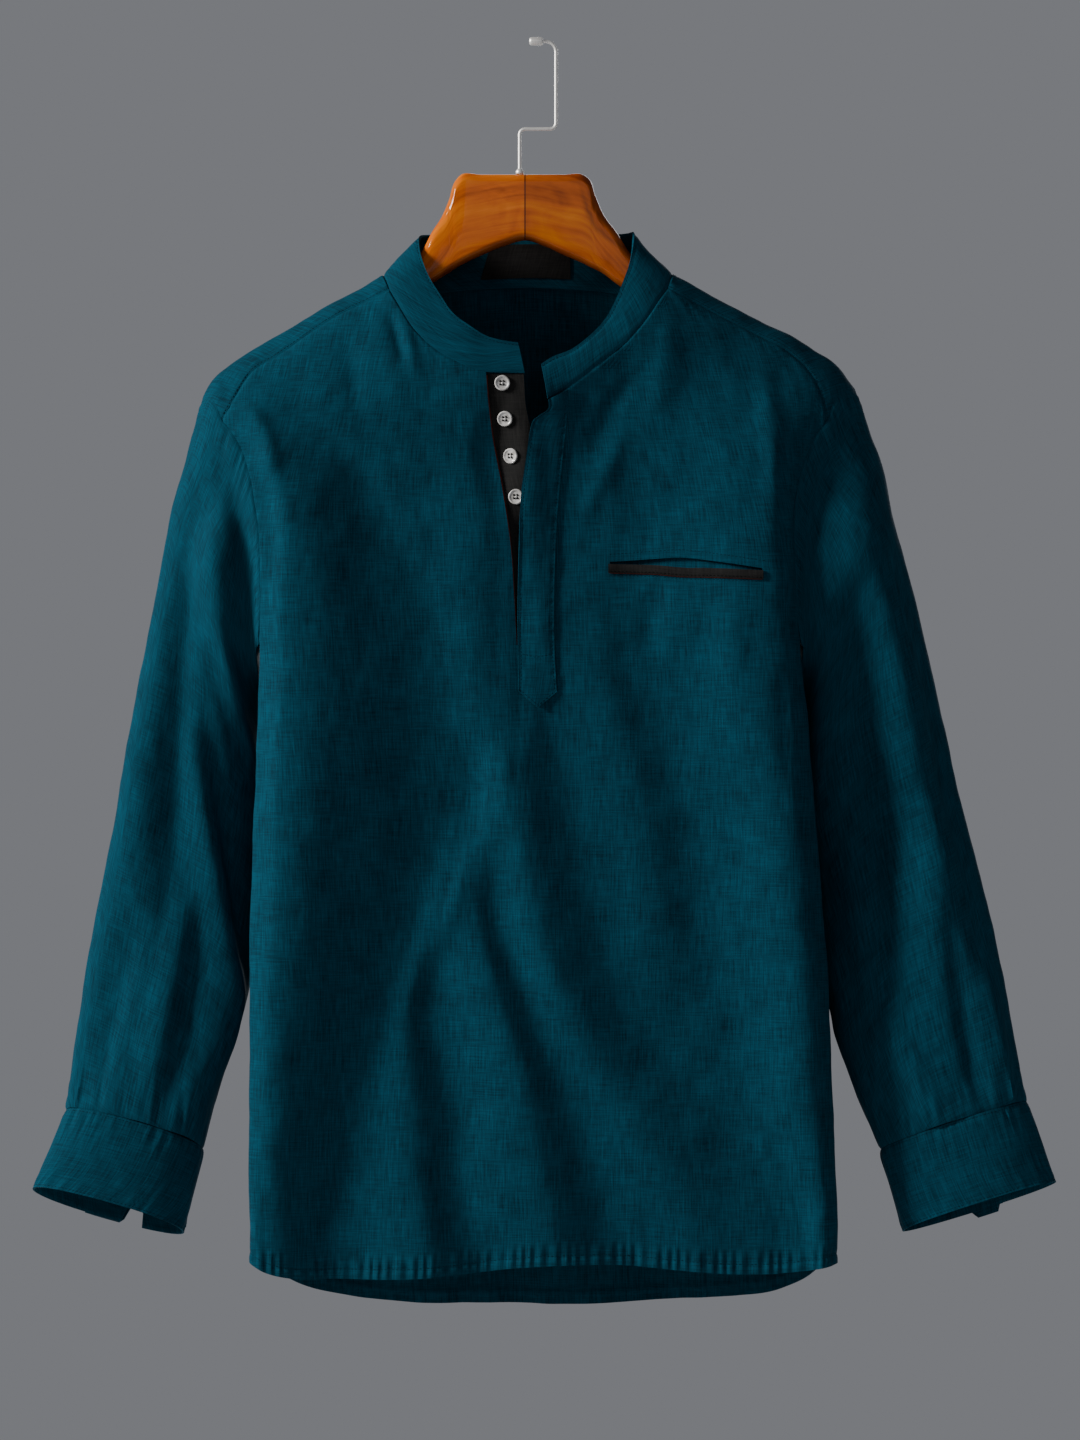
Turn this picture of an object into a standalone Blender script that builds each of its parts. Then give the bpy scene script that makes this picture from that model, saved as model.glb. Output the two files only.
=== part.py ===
"""A short kurta on a wooden hanger, piece by piece, at its real size.

Lengths in the tables are millimetres. X runs to the wearer's left sleeve (the viewer's right), the
front faces -Y, and Z is up. The origin is the place under the hook where a rail would hold it.
"""

import math

import bpy
import numpy as np

for old in list(bpy.data.objects):
    bpy.data.objects.remove(old)

MM = 0.001

# Driving dimensions
CLOTH = 1.6
SEAM_GAP = 0.3
ARMHOLE_GAP = 1.1
NECK_GAP = 0.7
LAYER = CLOTH + SEAM_GAP
FRONT_DEPTH = 66.0
BACK_DEPTH = 62.0
ROUNDNESS = 5.5
SQUARENESS = 2.4
OPEN_REACH = 6.0
UNDERARM = -470.0
HEM_SIDE = -945.0
BUTTON_ACROSS = 12.0
BUTTON_THICK = 2.4
WOOD_THICK = 15.0
WIRE_ACROSS = 2.8

# Height of the shoulder line, the crest that front and back fall away from. Columns: x, z
RIDGE = np.array([
    (-300.0, -372.0),
    (-275.0, -306.0),
    (-265.5, -283.0),
    (-256.0, -264.0),
    (-243.0, -252.7),
    (-205.0, -228.5),
    (-160.0, -202.0),
    (-126.8, -184.0),
    (-90.0, -164.0),
    (-50.0, -146.0),
    (-10.0, -139.0),
    (30.0, -144.0),
    (70.0, -161.0),
    (102.6, -179.4),
    (135.7, -198.0),
    (173.0, -217.6),
    (211.4, -237.9),
    (235.6, -256.6),
    (248.0, -275.3),
    (262.0, -303.0),
    (285.0, -362.0),
])
RIDGE_X, RIDGE_Z = RIDGE.T

# Body and armhole edges at each height, how closely they hug the side, and the side seam's depth.
# Columns: z, front left x, front right x, back left x, back right x, hug, side seam y
SIDES = np.array([
    (-1000.0, -225.0, 230.0, -225.0, 230.0, 1.00, 0.0),
    (-945.0, -225.0, 230.0, -225.0, 230.0, 1.00, 0.0),
    (-830.0, -225.0, 226.5, -225.0, 226.5, 1.00, -2.0),
    (-735.0, -224.6, 222.5, -224.6, 222.5, 1.00, -8.0),
    (-668.0, -223.9, 218.6, -223.9, 218.6, 1.00, -12.0),
    (-590.0, -221.5, 212.3, -221.5, 212.3, 1.00, -14.0),
    (-512.0, -218.0, 205.5, -218.0, 205.5, 1.00, -14.0),
    (-470.0, -217.0, 201.0, -217.0, 201.0, 1.00, -14.0),
    (-440.0, -216.2, 198.0, -222.0, 205.0, 0.80, -12.0),
    (-404.0, -216.5, 196.2, -229.0, 211.0, 0.64, -10.0),
    (-366.0, -219.6, 195.8, -236.0, 217.5, 0.55, -7.0),
    (-334.0, -225.8, 202.0, -243.5, 225.0, 0.50, -3.0),
    (-312.0, -234.5, 210.5, -249.0, 233.0, 0.47, -1.0),
    (-296.0, -247.0, 222.5, -256.0, 240.0, 0.45, 0.0),
    (-283.0, -265.5, 240.0, -265.5, 246.0, 0.43, 0.0),
    (-275.3, -266.0, 248.0, -266.0, 248.0, 0.42, 0.0),
    (-180.0, -266.0, 248.0, -266.0, 248.0, 0.35, 0.0),
])
SIDES_Z, FRONT_LEFT, FRONT_RIGHT, BACK_LEFT, BACK_RIGHT, HUG, SIDE_SEAM_Y = SIDES.T

# The placket slot in the front: its two cut edges at each height. Columns: z, left x, right x
SLOT = np.array([
    (-1000.0, -17.0, 12.0),
    (-520.0, -17.5, 10.0),
    (-471.0, -18.0, 7.8),
    (-432.0, -20.0, 6.9),
    (-393.0, -22.8, 8.5),
    (-353.0, -28.6, 11.5),
    (-308.0, -36.9, 16.5),
    (-284.7, -39.6, 17.6),
    (-240.0, -43.0, 17.7),
])
SLOT_Z, SLOT_LEFT, SLOT_RIGHT = SLOT.T

# Hem heights. Columns: x, front z, back z
HEM = np.array([
    (-225.0, -945.3, -945.3),
    (-214.0, -952.0, -956.0),
    (-194.0, -957.5, -969.5),
    (-152.0, -959.0, -983.0),
    (-105.0, -958.5, -987.5),
    (-58.0, -955.0, -989.3),
    (-12.0, -949.5, -990.0),
    (62.0, -948.0, -988.6),
    (110.0, -952.0, -986.0),
    (157.0, -954.5, -981.5),
    (190.0, -953.0, -975.5),
    (213.0, -949.5, -963.0),
    (230.0, -945.3, -945.3),
])
HEM_X, HEM_FRONT_Z, HEM_BACK_Z = HEM.T

# The forward yoke seam, from each armhole up to the neck, and the front neckline from there on
LEFT_YOKE_SEAM = np.array([
    (-247.0, -296.0), (-234.4, -272.7), (-225.0, -258.8), (-204.1, -244.9), (-159.1, -214.6),
    (-117.2, -194.3),
])
RIGHT_YOKE_SEAM = np.array([
    (222.5, -296.0), (217.3, -273.5), (206.4, -254.5), (191.7, -241.5), (172.3, -230.5),
    (138.9, -213.0), (99.3, -192.7),
])
LEFT_NECKLINE = np.array([
    (-117.2, -194.3), (-112.5, -202.0), (-96.8, -226.0), (-77.2, -244.0), (-67.1, -249.7),
    (-53.9, -256.0), (-41.6, -259.4),
])
RIGHT_NECKLINE = np.array([
    (99.3, -192.7), (93.1, -201.5), (84.4, -215.1), (67.2, -235.2), (54.7, -245.8), (41.6, -256.2),
    (17.7, -274.0),
])
# Back neckline: place along X, and the signed root of the drop below the shoulder line
BACK_NECKLINE = np.array([
    (-117.2, -3.9), (-120.9, -2.0), (-122.2, 0.0), (-120.0, 2.0), (-113.0, 3.6), (-90.0, 5.3),
    (-50.0, 6.6),
    (-8.0, 7.0), (38.0, 6.6), (75.0, 5.3), (95.0, 3.5), (101.4, 1.9), (103.2, 0.0), (102.3, -2.0),
    (99.3, -3.9),
])
BACK_YOKE_SEAM = np.array([
    (-249.0, -312.0), (-130.0, -297.0), (-8.0, -290.0), (110.0, -296.0), (233.0, -312.0),
])

# The breast pocket's mouth, its cut lower lip and hanging upper lip. Columns: x, lower z, upper z
POCKET = np.array([
    (53.8, -407.4, -405.9),
    (72.0, -407.9, -404.8),
    (90.0, -408.6, -403.6),
    (110.0, -410.5, -402.9),
    (128.0, -411.0, -405.0),
    (149.0, -411.8, -408.0),
    (170.5, -412.8, -411.3),
])
POCKET_X, LOWER_LIP_Z, UPPER_LIP_Z = POCKET.T
POCKET_LEFT = POCKET_X[0]
POCKET_RIGHT = POCKET_X[-1]
BEYOND_LOWER_LIP = -1.0
BEYOND_UPPER_LIP = 3.0
WELT_HIGH = 6.8

# Folds: a soft ridge (+) or trough (-) that wanders through three places and dies out at its ends,
# or runs out through the hem. Columns: x and z at the top, middle and low end, width, height, and 1
# where it runs through the hem
FRONT_FOLDS = np.array([
    (-212.0, -262.0, -101.0, -400.0, -60.0, -640.0, 34.0, 9.0, 0),
    (-205.0, -300.0, -158.0, -560.0, -178.0, -960.0, 48.0, -11.0, 1),
    (-62.0, -560.0, -18.0, -740.0, 84.0, -960.0, 30.0, 9.0, 1),
    (-92.0, -640.0, -62.0, -800.0, -6.0, -960.0, 28.0, -7.0, 1),
    (-6.0, -540.0, 34.0, -740.0, 150.0, -960.0, 36.0, -9.0, 1),
    (-104.0, -690.0, -122.0, -830.0, -130.0, -960.0, 30.0, 7.0, 1),
    (52.0, -440.0, 78.0, -540.0, 112.0, -720.0, 28.0, -6.0, 0),
    (90.0, -500.0, 150.0, -700.0, 192.0, -960.0, 42.0, 9.0, 1),
    (190.0, -262.0, 184.0, -340.0, 178.0, -450.0, 24.0, 4.0, 0),
])
BACK_FOLDS = np.array([
    (-120.0, -330.0, -135.0, -600.0, -150.0, -985.0, 34.0, 9.0, 1),
    (-70.0, -380.0, -80.0, -640.0, -92.0, -985.0, 30.0, -8.0, 1),
    (-20.0, -330.0, -14.0, -620.0, -24.0, -985.0, 32.0, 8.0, 1),
    (46.0, -400.0, 44.0, -680.0, 36.0, -985.0, 28.0, -7.0, 1),
    (104.0, -340.0, 96.0, -640.0, 102.0, -985.0, 34.0, 9.0, 1),
    (160.0, -420.0, 158.0, -700.0, 164.0, -985.0, 24.0, -6.0, 1),
])

# The collar band's free edge, from the open left end round the back of the neck to the right end.
# Columns: x, y, z
COLLAR_TOP = np.array([
    (-17.0, -33.0, -236.4), (-28.6, -33.5, -234.8), (-41.8, -33.5, -231.0), (-54.2, -32.0, -223.3),
    (-67.4, -28.5, -213.1), (-77.5, -23.0, -198.2), (-86.0, -17.0, -184.0), (-94.0, -6.0, -160.5),
    (-94.5, 4.0, -150.5), (-89.0, 16.5, -149.0), (-70.0, 27.0, -150.5), (-40.0, 32.0, -152.0),
    (-8.0, 34.0, -152.5), (25.0, 32.0, -151.0), (50.0, 26.0, -149.0), (68.0, 15.5, -147.5),
    (73.5, 4.0, -147.0), (73.0, -5.0, -154.5), (71.0, -11.0, -168.0), (64.0, -18.0, -188.8),
    (59.0, -21.5, -201.6), (51.0, -26.0, -216.8), (35.6, -30.0, -233.3), (22.4, -31.5, -242.5),
    (10.0, -33.0, -247.2), (1.0, -35.5, -252.9),
])
COLLAR_LEFT_END = (-11.9, -259.9)
COLLAR_RIGHT_END = (5.8, -279.4)

# Sleeves: outer and inner outline in the front view, half depth, forward or back place, and pitch.
# Columns: outer x, outer z, inner x, inner z, half depth, middle y, pitch in degrees
LEFT_SLEEVE = np.array([
    (-265.5, -283.0, -217.0, -470.0, 44.0, -2.0, 0.0),
    (-274.6, -313.6, -219.0, -478.0, 47.0, 5.0, 0.0),
    (-282.4, -344.8, -218.5, -492.0, 48.0, 12.0, 0.0),
    (-289.4, -376.0, -217.0, -512.0, 48.0, 18.0, 1.0),
    (-295.6, -407.0, -216.0, -536.0, 47.0, 22.0, 2.0),
    (-301.9, -438.0, -216.0, -560.0, 46.0, 24.0, 3.0),
    (-316.7, -516.0, -218.0, -606.0, 43.0, 25.0, 5.0),
    (-328.4, -579.0, -220.0, -652.0, 40.0, 24.0, 8.0),
    (-339.3, -641.0, -223.0, -700.0, 37.0, 20.0, 11.0),
    (-351.0, -703.6, -228.5, -743.0, 34.0, 14.0, 14.0),
    (-358.8, -750.4, -237.0, -772.0, 31.0, 8.0, 17.0),
    (-365.8, -797.0, -250.4, -816.0, 29.0, 1.0, 19.0),
    (-369.7, -832.0, -262.9, -861.9, 27.0, -6.0, 21.0),
])
LEFT_CUFF_RIM = (-393.9, -892.5, -277.7, -925.0, 24.0, -17.0, 22.0)
RIGHT_SLEEVE = np.array([
    (248.0, -275.3, 201.0, -470.0, 44.0, -2.0, 0.0),
    (258.5, -306.0, 203.0, -478.0, 47.0, 5.0, 0.0),
    (268.3, -336.2, 202.5, -492.0, 48.0, 12.0, 0.0),
    (276.1, -376.0, 202.5, -512.0, 48.0, 18.0, 1.0),
    (284.7, -407.0, 202.5, -536.0, 47.0, 22.0, 2.0),
    (292.5, -438.0, 203.0, -560.0, 46.0, 24.0, 3.0),
    (310.4, -516.0, 207.0, -606.0, 43.0, 25.0, 5.0),
    (324.5, -579.0, 212.0, -652.0, 40.0, 24.0, 7.0),
    (339.3, -641.0, 217.0, -700.0, 37.0, 20.0, 9.0),
    (353.3, -703.6, 224.0, -746.0, 34.0, 14.0, 11.0),
    (362.7, -750.4, 231.5, -780.0, 31.0, 9.0, 12.0),
    (371.3, -797.0, 248.5, -826.0, 29.0, 4.0, 13.0),
    (376.7, -823.0, 264.4, -861.1, 27.0, 0.0, 14.0),
])
RIGHT_CUFF_RIM = (398.0, -884.5, 282.0, -923.0, 24.0, -8.0, 14.0)
# Sleeve folds: place round the sleeve in degrees (0 outside, 90 front) and share of the way along it.
# Columns: turn and place at the top, turn and place at the low end, width in degrees, height
LEFT_SLEEVE_FOLDS = np.array([
    (128.0, 0.03, 158.0, 0.42, 26.0, -5.0),
    (96.0, 0.05, 84.0, 0.50, 26.0, 3.0),
    (150.0, 0.46, 70.0, 0.78, 20.0, -3.5),
    (60.0, 0.30, 30.0, 0.72, 24.0, -2.5),
    (128.0, 0.52, 108.0, 0.84, 18.0, 2.5),
    (100.0, 0.72, 62.0, 0.96, 15.0, -2.0),
    (80.0, 0.76, 96.0, 1.05, 14.0, 2.0),
    (250.0, 0.06, 262.0, 0.60, 28.0, 3.5),
    (215.0, 0.15, 230.0, 0.70, 24.0, -3.5),
    (290.0, 0.30, 270.0, 0.95, 24.0, -2.5),
])
RIGHT_SLEEVE_FOLDS = np.array([
    (140.0, 0.03, 128.0, 0.55, 26.0, -4.0),
    (100.0, 0.04, 84.0, 0.46, 22.0, 3.0),
    (116.0, 0.50, 92.0, 0.84, 18.0, 3.0),
    (66.0, 0.40, 62.0, 0.86, 20.0, -2.5),
    (150.0, 0.56, 130.0, 0.80, 18.0, -2.5),
    (74.0, 0.78, 70.0, 1.05, 14.0, -2.0),
    (250.0, 0.06, 262.0, 0.60, 28.0, 3.5),
    (215.0, 0.15, 230.0, 0.70, 24.0, -3.5),
    (290.0, 0.30, 270.0, 0.95, 24.0, -2.5),
])

# The hanger's upper and lower edge along X. Columns: x, top z, low z
WOOD = np.array([
    (-233.0, -266.0, -272.0),
    (-231.0, -257.0, -278.0),
    (-222.0, -246.6, -276.0),
    (-205.0, -235.5, -264.0),
    (-160.0, -208.0, -236.0),
    (-126.0, -192.5, -216.0),
    (-115.0, -188.0, -208.5),
    (-106.0, -179.0, -202.5),
    (-99.0, -171.0, -197.5),
    (-92.0, -162.0, -193.0),
    (-84.0, -147.0, -187.5),
    (-77.0, -136.3, -183.0),
    (-71.0, -122.5, -179.2),
    (-66.0, -107.5, -176.0),
    (-62.0, -103.0, -173.6),
    (-45.2, -102.6, -165.4),
    (-28.0, -102.6, -158.4),
    (-10.9, -102.6, -154.0),
    (4.0, -102.6, -158.6),
    (18.7, -102.6, -165.4),
    (34.0, -102.9, -172.0),
    (38.6, -106.5, -174.4),
    (43.0, -118.5, -176.6),
    (50.3, -135.0, -180.5),
    (60.0, -148.0, -188.0),
    (70.0, -163.5, -194.0),
    (84.0, -177.0, -202.0),
    (96.0, -188.5, -208.5),
    (106.0, -193.5, -214.0),
    (136.0, -205.0, -230.0),
    (173.0, -224.5, -249.0),
    (196.0, -236.5, -261.5),
    (206.0, -245.0, -267.5),
    (210.0, -254.0, -262.0),
])


def smooth(at, knots, values):
    """The value at each place on a smooth curve through the knots, held level past both ends."""
    knots = np.asarray(knots, float)
    values = np.asarray(values, float)
    step = np.diff(knots)
    slope = np.diff(values) / step
    inner = (slope[:-1] * step[1:] + slope[1:] * step[:-1]) / (step[:-1] + step[1:])
    tangent = np.concatenate([slope[:1], inner, slope[-1:]])
    at = np.clip(at, knots[0], knots[-1])
    span = np.clip(np.searchsorted(knots, at, side="right") - 1, 0, len(step) - 1)
    t = (at - knots[span]) / step[span]
    start = (1 + 2 * t) * (1 - t) ** 2 * values[span] + t * (1 - t) ** 2 * step[span] * tangent[span]
    end = t * t * (3 - 2 * t) * values[span + 1] - t * t * (1 - t) * step[span] * tangent[span + 1]
    return start + end


def ease(t):
    t = np.clip(t, 0.0, 1.0)
    return t * t * (3 - 2 * t)


def along(points, count):
    """Points evenly spaced along a smooth curve through the given ones, first and last included."""
    points = np.asarray(points, float)
    length = np.concatenate([[0.0], np.cumsum(np.linalg.norm(np.diff(points, axis=0), axis=1))])
    at = np.linspace(0.0, length[-1], count)
    return np.stack([smooth(at, length, column) for column in points.T], axis=-1)


def ridge(x):
    return smooth(x, RIDGE_X, RIDGE_Z)


def edges(z, face):
    """Left and right edge of the front (face -1) or back (face 1) at height z."""
    left, right = (FRONT_LEFT, FRONT_RIGHT) if face < 0 else (BACK_LEFT, BACK_RIGHT)
    return smooth(z, SIDES_Z, left), smooth(z, SIDES_Z, right)


def folds(x, z, table):
    """Outward push of all the folds: a bell across each one, swelling from nothing along it."""
    push = np.zeros(np.broadcast(x, z).shape)
    for x_top, z_top, x_mid, z_mid, x_low, z_low, width, height, through_hem in table:
        middle = smooth(-z, (-z_top, -z_mid, -z_low), (x_top, x_mid, x_low))
        gone = (z_top - z) / (z_top - z_low)
        swell = ease(gone / 0.35) * (1.0 if through_hem else ease((1 - gone) / 0.35))
        push = push + height * swell * np.exp(-(((x - middle) / width) ** 2))
    return push


def body_y(x, root, face):
    """Depth of the body cloth, where root is the signed root of the drop below the shoulder line.

    The cloth leaves the shoulder line as a round nose and levels out at the full depth. Across the
    body it follows a squared-off oval that closes at the side seams and stays open at the armholes.
    """
    z = ridge(x) - root * root
    full = FRONT_DEPTH if face < 0 else BACK_DEPTH
    crown = full * np.tanh(ROUNDNESS * np.abs(root) / full)
    left, right = edges(z, face)
    across = np.clip((2 * x - left - right) / (right - left), -1.0, 1.0)
    hug = np.minimum(smooth(z, SIDES_Z, HUG), 1.0)
    opened = (1 - hug) * np.abs(across) ** OPEN_REACH
    bulge = np.maximum(1 - np.abs(across) ** SQUARENESS + opened, 0.0) ** (1 / SQUARENESS)
    side = smooth(z, SIDES_Z, SIDE_SEAM_Y)
    push = folds(x, z, FRONT_FOLDS if face < 0 else BACK_FOLDS) * (1 - across**6)
    return face * (crown * bulge + push) + side * (1 - bulge)


def body_point(x, z, face):
    root = np.sqrt(np.maximum(ridge(x) - z, 0.0))
    return np.stack([x, body_y(x, root, face), z + 0 * x], axis=-1)


def front_point(x, z, lift):
    """A point held off the front cloth by lift, square to it."""
    reach = 3.0
    slope_x = (body_point(x + reach, z, -1) - body_point(x - reach, z, -1))[..., 1] / (2 * reach)
    slope_z = (body_point(x, z + reach, -1) - body_point(x, z - reach, -1))[..., 1] / (2 * reach)
    out = np.stack([slope_x, -np.ones_like(slope_x), slope_z], axis=-1)
    out /= np.linalg.norm(out, axis=-1, keepdims=True)
    return body_point(x, z, -1) + out * np.asarray(lift)[..., None]


def outward(grid, around=False):
    """The unit normal at each point of a grid whose rows go up and whose columns go to the right."""
    if around:
        wide = np.concatenate([grid[:, -1:], grid, grid[:, :1]], axis=1)
        across = wide[:, 2:] - wide[:, :-2]
    else:
        across = np.gradient(grid, axis=1)
    normal = np.cross(across, np.gradient(grid, axis=0))
    return normal / np.maximum(np.linalg.norm(normal, axis=-1, keepdims=True), 1e-9)


def ease_back(grid, row=None, column=None, gap=SEAM_GAP / 2):
    """Moves one edge of a grid back into its own piece, by half the seam's gap."""
    view = grid if column is None else grid.transpose(1, 0, 2)
    at = row if column is None else column
    nearer = 1 if at == 0 else -2
    inward = view[nearer] - view[at]
    view[at] += inward / np.linalg.norm(inward, axis=-1, keepdims=True) * gap


def wall(outer, inner, keep=None, around=False):
    """Points and faces of the wall between two grids: both faces, and a rim round every edge."""
    rows, columns = outer.shape[:2]
    index = np.arange(rows * columns).reshape(rows, columns)
    right = np.roll(index, -1, axis=1) if around else index[:, 1:]
    left = index if around else index[:, :-1]
    quads = np.stack([left[:-1], right[:-1], right[1:], left[1:]], axis=-1)
    if keep is not None:
        quads = quads[keep]
    quads = quads.reshape(-1, 4)
    starts = quads.ravel()
    ends = np.roll(quads, -1, axis=1).ravel()
    total = rows * columns
    lone = ~np.isin(starts * total + ends, ends * total + starts)
    rim = np.stack([ends[lone], starts[lone], starts[lone] + total, ends[lone] + total], axis=-1)
    faces = np.concatenate([quads, quads[:, ::-1] + total, rim])
    points = np.concatenate([outer.reshape(-1, 3), inner.reshape(-1, 3)])
    used = np.unique(faces)
    place = np.zeros(2 * total, int)
    place[used] = np.arange(len(used))
    return points[used], place[faces]


def material(name, colour, roughness, metallic=0.0):
    made = bpy.data.materials.new(name)
    made.use_nodes = True
    shader = made.node_tree.nodes["Principled BSDF"]
    shader.inputs["Base Color"].default_value = (*colour, 1.0)
    shader.inputs["Roughness"].default_value = roughness
    shader.inputs["Metallic"].default_value = metallic
    return made


def add(name, points, faces, finish):
    """One object from points in millimetres."""
    mesh = bpy.data.meshes.new(name)
    mesh.from_pydata((np.asarray(points) * MM).tolist(), [], np.asarray(faces).tolist())
    mesh.shade_smooth()
    mesh.set_sharp_from_angle(angle=math.radians(40))
    mesh.materials.append(finish)
    made = bpy.data.objects.new(name, mesh)
    bpy.context.scene.collection.objects.link(made)
    return made


def add_wall(name, outer, normals, finish, thick=CLOTH, keep=None, around=False):
    return add(name, *wall(outer, outer - normals * thick, keep, around), finish)


TEAL = material("teal_linen", (0.0025, 0.0270, 0.0440), 0.85)
BLACK = material("black_linen", (0.0110, 0.0120, 0.0125), 0.80)
SHELL = material("shell", (0.45, 0.45, 0.43), 0.30)
WOOD_FINISH = material("varnished_wood", (0.40, 0.090, 0.012), 0.25)
STEEL = material("satin_steel", (0.30, 0.28, 0.26), 0.30, 1.0)

# ---------------------------------------------------------------- body grids

HEM_ROWS = 15
CHEST_ROWS = 3
TOP_ROWS = 7
LEFT_SEAM_COLUMNS = 8
NECK_COLUMNS = 5
SLOT_STEPS = 2
RIGHT_SEAM_COLUMNS = 8
BACK_NECK_COLUMNS = len(BACK_NECKLINE) - 1
BACK_ARMHOLE_ROWS = 8
YOKE_ROWS = 6
FAN_LEFT = 162.0
FAN_RIGHT = 146.0

LEFT_CORNER = LEFT_SEAM_COLUMNS
SLOT_LEFT_COLUMN = LEFT_CORNER + NECK_COLUMNS
SLOT_RIGHT_COLUMN = SLOT_LEFT_COLUMN + SLOT_STEPS
RIGHT_CORNER = SLOT_RIGHT_COLUMN + NECK_COLUMNS
LAST_COLUMN = RIGHT_CORNER + RIGHT_SEAM_COLUMNS
POCKET_FIRST_COLUMN = SLOT_RIGHT_COLUMN + 2
POCKET_LAST_COLUMN = POCKET_FIRST_COLUMN + 8
RAILS = (0, SLOT_LEFT_COLUMN, SLOT_RIGHT_COLUMN, LAST_COLUMN)


def rail_x(z):
    """Where the four lines that bound the front's three strips stand: side, slot, slot, side."""
    left, right = edges(z, -1)
    slot_left = smooth(z, SLOT_Z, SLOT_LEFT)
    slot_right = smooth(z, SLOT_Z, SLOT_RIGHT)
    return np.stack([left, slot_left, slot_right, right])


def fan(count, bunch):
    """Shares from 0 to 1, bunched towards 0."""
    return np.linspace(0.0, 1.0, count + 1) ** bunch


def between(low, high, shares):
    return low + (high - low) * shares


def level_guide(z):
    """One level row of the front, its columns bunched towards the sides."""
    rails = rail_x(z)
    left = between(rails[0], rails[1], fan(SLOT_LEFT_COLUMN, 1.35))
    middle = between(rails[1], rails[2], fan(SLOT_STEPS, 1.0))
    right = between(rails[3], rails[2], fan(LAST_COLUMN - SLOT_RIGHT_COLUMN, 1.35))[::-1]
    x = np.concatenate([left, middle[1:], right[1:]])
    return np.stack([x, np.full_like(x, z)], axis=-1)


def pocket_guide(lip, beyond):
    """The row along one of the pocket's lips, easing off by the given height beyond its ends."""
    end_z = lip[0]
    guide = level_guide(end_z)
    x = guide[:, 0]
    rails = rail_x(end_z)
    lead = between(rails[2], POCKET_LEFT, np.linspace(0, 1, POCKET_FIRST_COLUMN - SLOT_RIGHT_COLUMN + 1))
    mouth = np.linspace(POCKET_LEFT, POCKET_RIGHT, POCKET_LAST_COLUMN - POCKET_FIRST_COLUMN + 1)
    rest = between(POCKET_RIGHT, rails[3], np.linspace(0, 1, LAST_COLUMN - POCKET_LAST_COLUMN + 1) ** 0.8)
    x[SLOT_RIGHT_COLUMN:] = np.concatenate([lead[:-1], mouth, rest[1:]])
    apart = np.maximum(POCKET_LEFT - x, 0) + np.maximum(x - POCKET_RIGHT, 0)
    z = smooth(x, POCKET_X, lip) + beyond * np.tanh(apart / 30)
    return np.stack([x, z], axis=-1)


def top_guide():
    """The front's upper edge: left yoke seam, neckline, slot, neckline, right yoke seam."""
    left_seam = along(LEFT_YOKE_SEAM, LEFT_SEAM_COLUMNS + 1)
    left_neck = along(LEFT_NECKLINE, NECK_COLUMNS + 1)
    right_neck = along(RIGHT_NECKLINE, NECK_COLUMNS + 1)[::-1]
    right_seam = along(RIGHT_YOKE_SEAM, RIGHT_SEAM_COLUMNS + 1)[::-1]
    slot = between(left_neck[-1], right_neck[0], np.linspace(0, 1, SLOT_STEPS + 1)[:, None])
    return np.concatenate([left_seam, left_neck[1:], slot[1:-1], right_neck, right_seam[1:]])


def hem_guide():
    guide = level_guide(HEM_SIDE)
    guide[:, 1] = smooth(guide[:, 0], HEM_X, HEM_FRONT_Z)
    return guide


def shares_of(guide):
    """Each column's share of the way between the rails either side of it."""
    shares = np.zeros(len(guide))
    for first, last in zip(RAILS[:-1], RAILS[1:]):
        x = guide[first : last + 1, 0]
        shares[first : last + 1] = (x - x[0]) / (x[-1] - x[0])
    shares[list(RAILS[1:])] = 0.0
    return shares


def front_grid():
    """The whole front as rows of (x, z), lofted between its guide rows and kept to its rails."""
    lower_lip = pocket_guide(LOWER_LIP_Z, BEYOND_LOWER_LIP)
    upper_lip = pocket_guide(UPPER_LIP_Z, BEYOND_UPPER_LIP)
    guides = [hem_guide(), level_guide(UNDERARM), lower_lip, upper_lip, top_guide()]
    counts = (HEM_ROWS, CHEST_ROWS, 1, TOP_ROWS)
    rows = []
    for low, high, count in zip(guides[:-1], guides[1:], counts):
        low_shares = shares_of(low)
        high_shares = shares_of(high)
        for step in range(count):
            t = step / count
            z = between(low[:, 1], high[:, 1], t)
            shares = between(low_shares, high_shares, t)
            x = between(low[:, 0], high[:, 0], t)
            for number, (first, last) in enumerate(zip(RAILS[:-1], RAILS[1:])):
                start = rail_x(z[first])[number]
                end = rail_x(z[last])[number + 1]
                x[first:last] = between(start, end, shares[first:last])
            x[LAST_COLUMN] = rail_x(z[LAST_COLUMN])[3]
            rows.append(np.stack([x, z], axis=-1))
    rows.append(guides[-1])
    return np.array(rows)


def back_seam():
    """The seam between yoke and back, its columns fanned out below the neck's corners."""
    last = LEFT_SEAM_COLUMNS + BACK_NECK_COLUMNS + RIGHT_SEAM_COLUMNS
    corners = (0, LEFT_SEAM_COLUMNS, LEFT_SEAM_COLUMNS + BACK_NECK_COLUMNS, last)
    places = (BACK_YOKE_SEAM[0, 0], -FAN_LEFT, FAN_RIGHT, BACK_YOKE_SEAM[-1, 0])
    x = np.interp(np.arange(last + 1), corners, places)
    return np.stack([x, smooth(x, BACK_YOKE_SEAM[:, 0], BACK_YOKE_SEAM[:, 1])], axis=-1)


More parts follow.
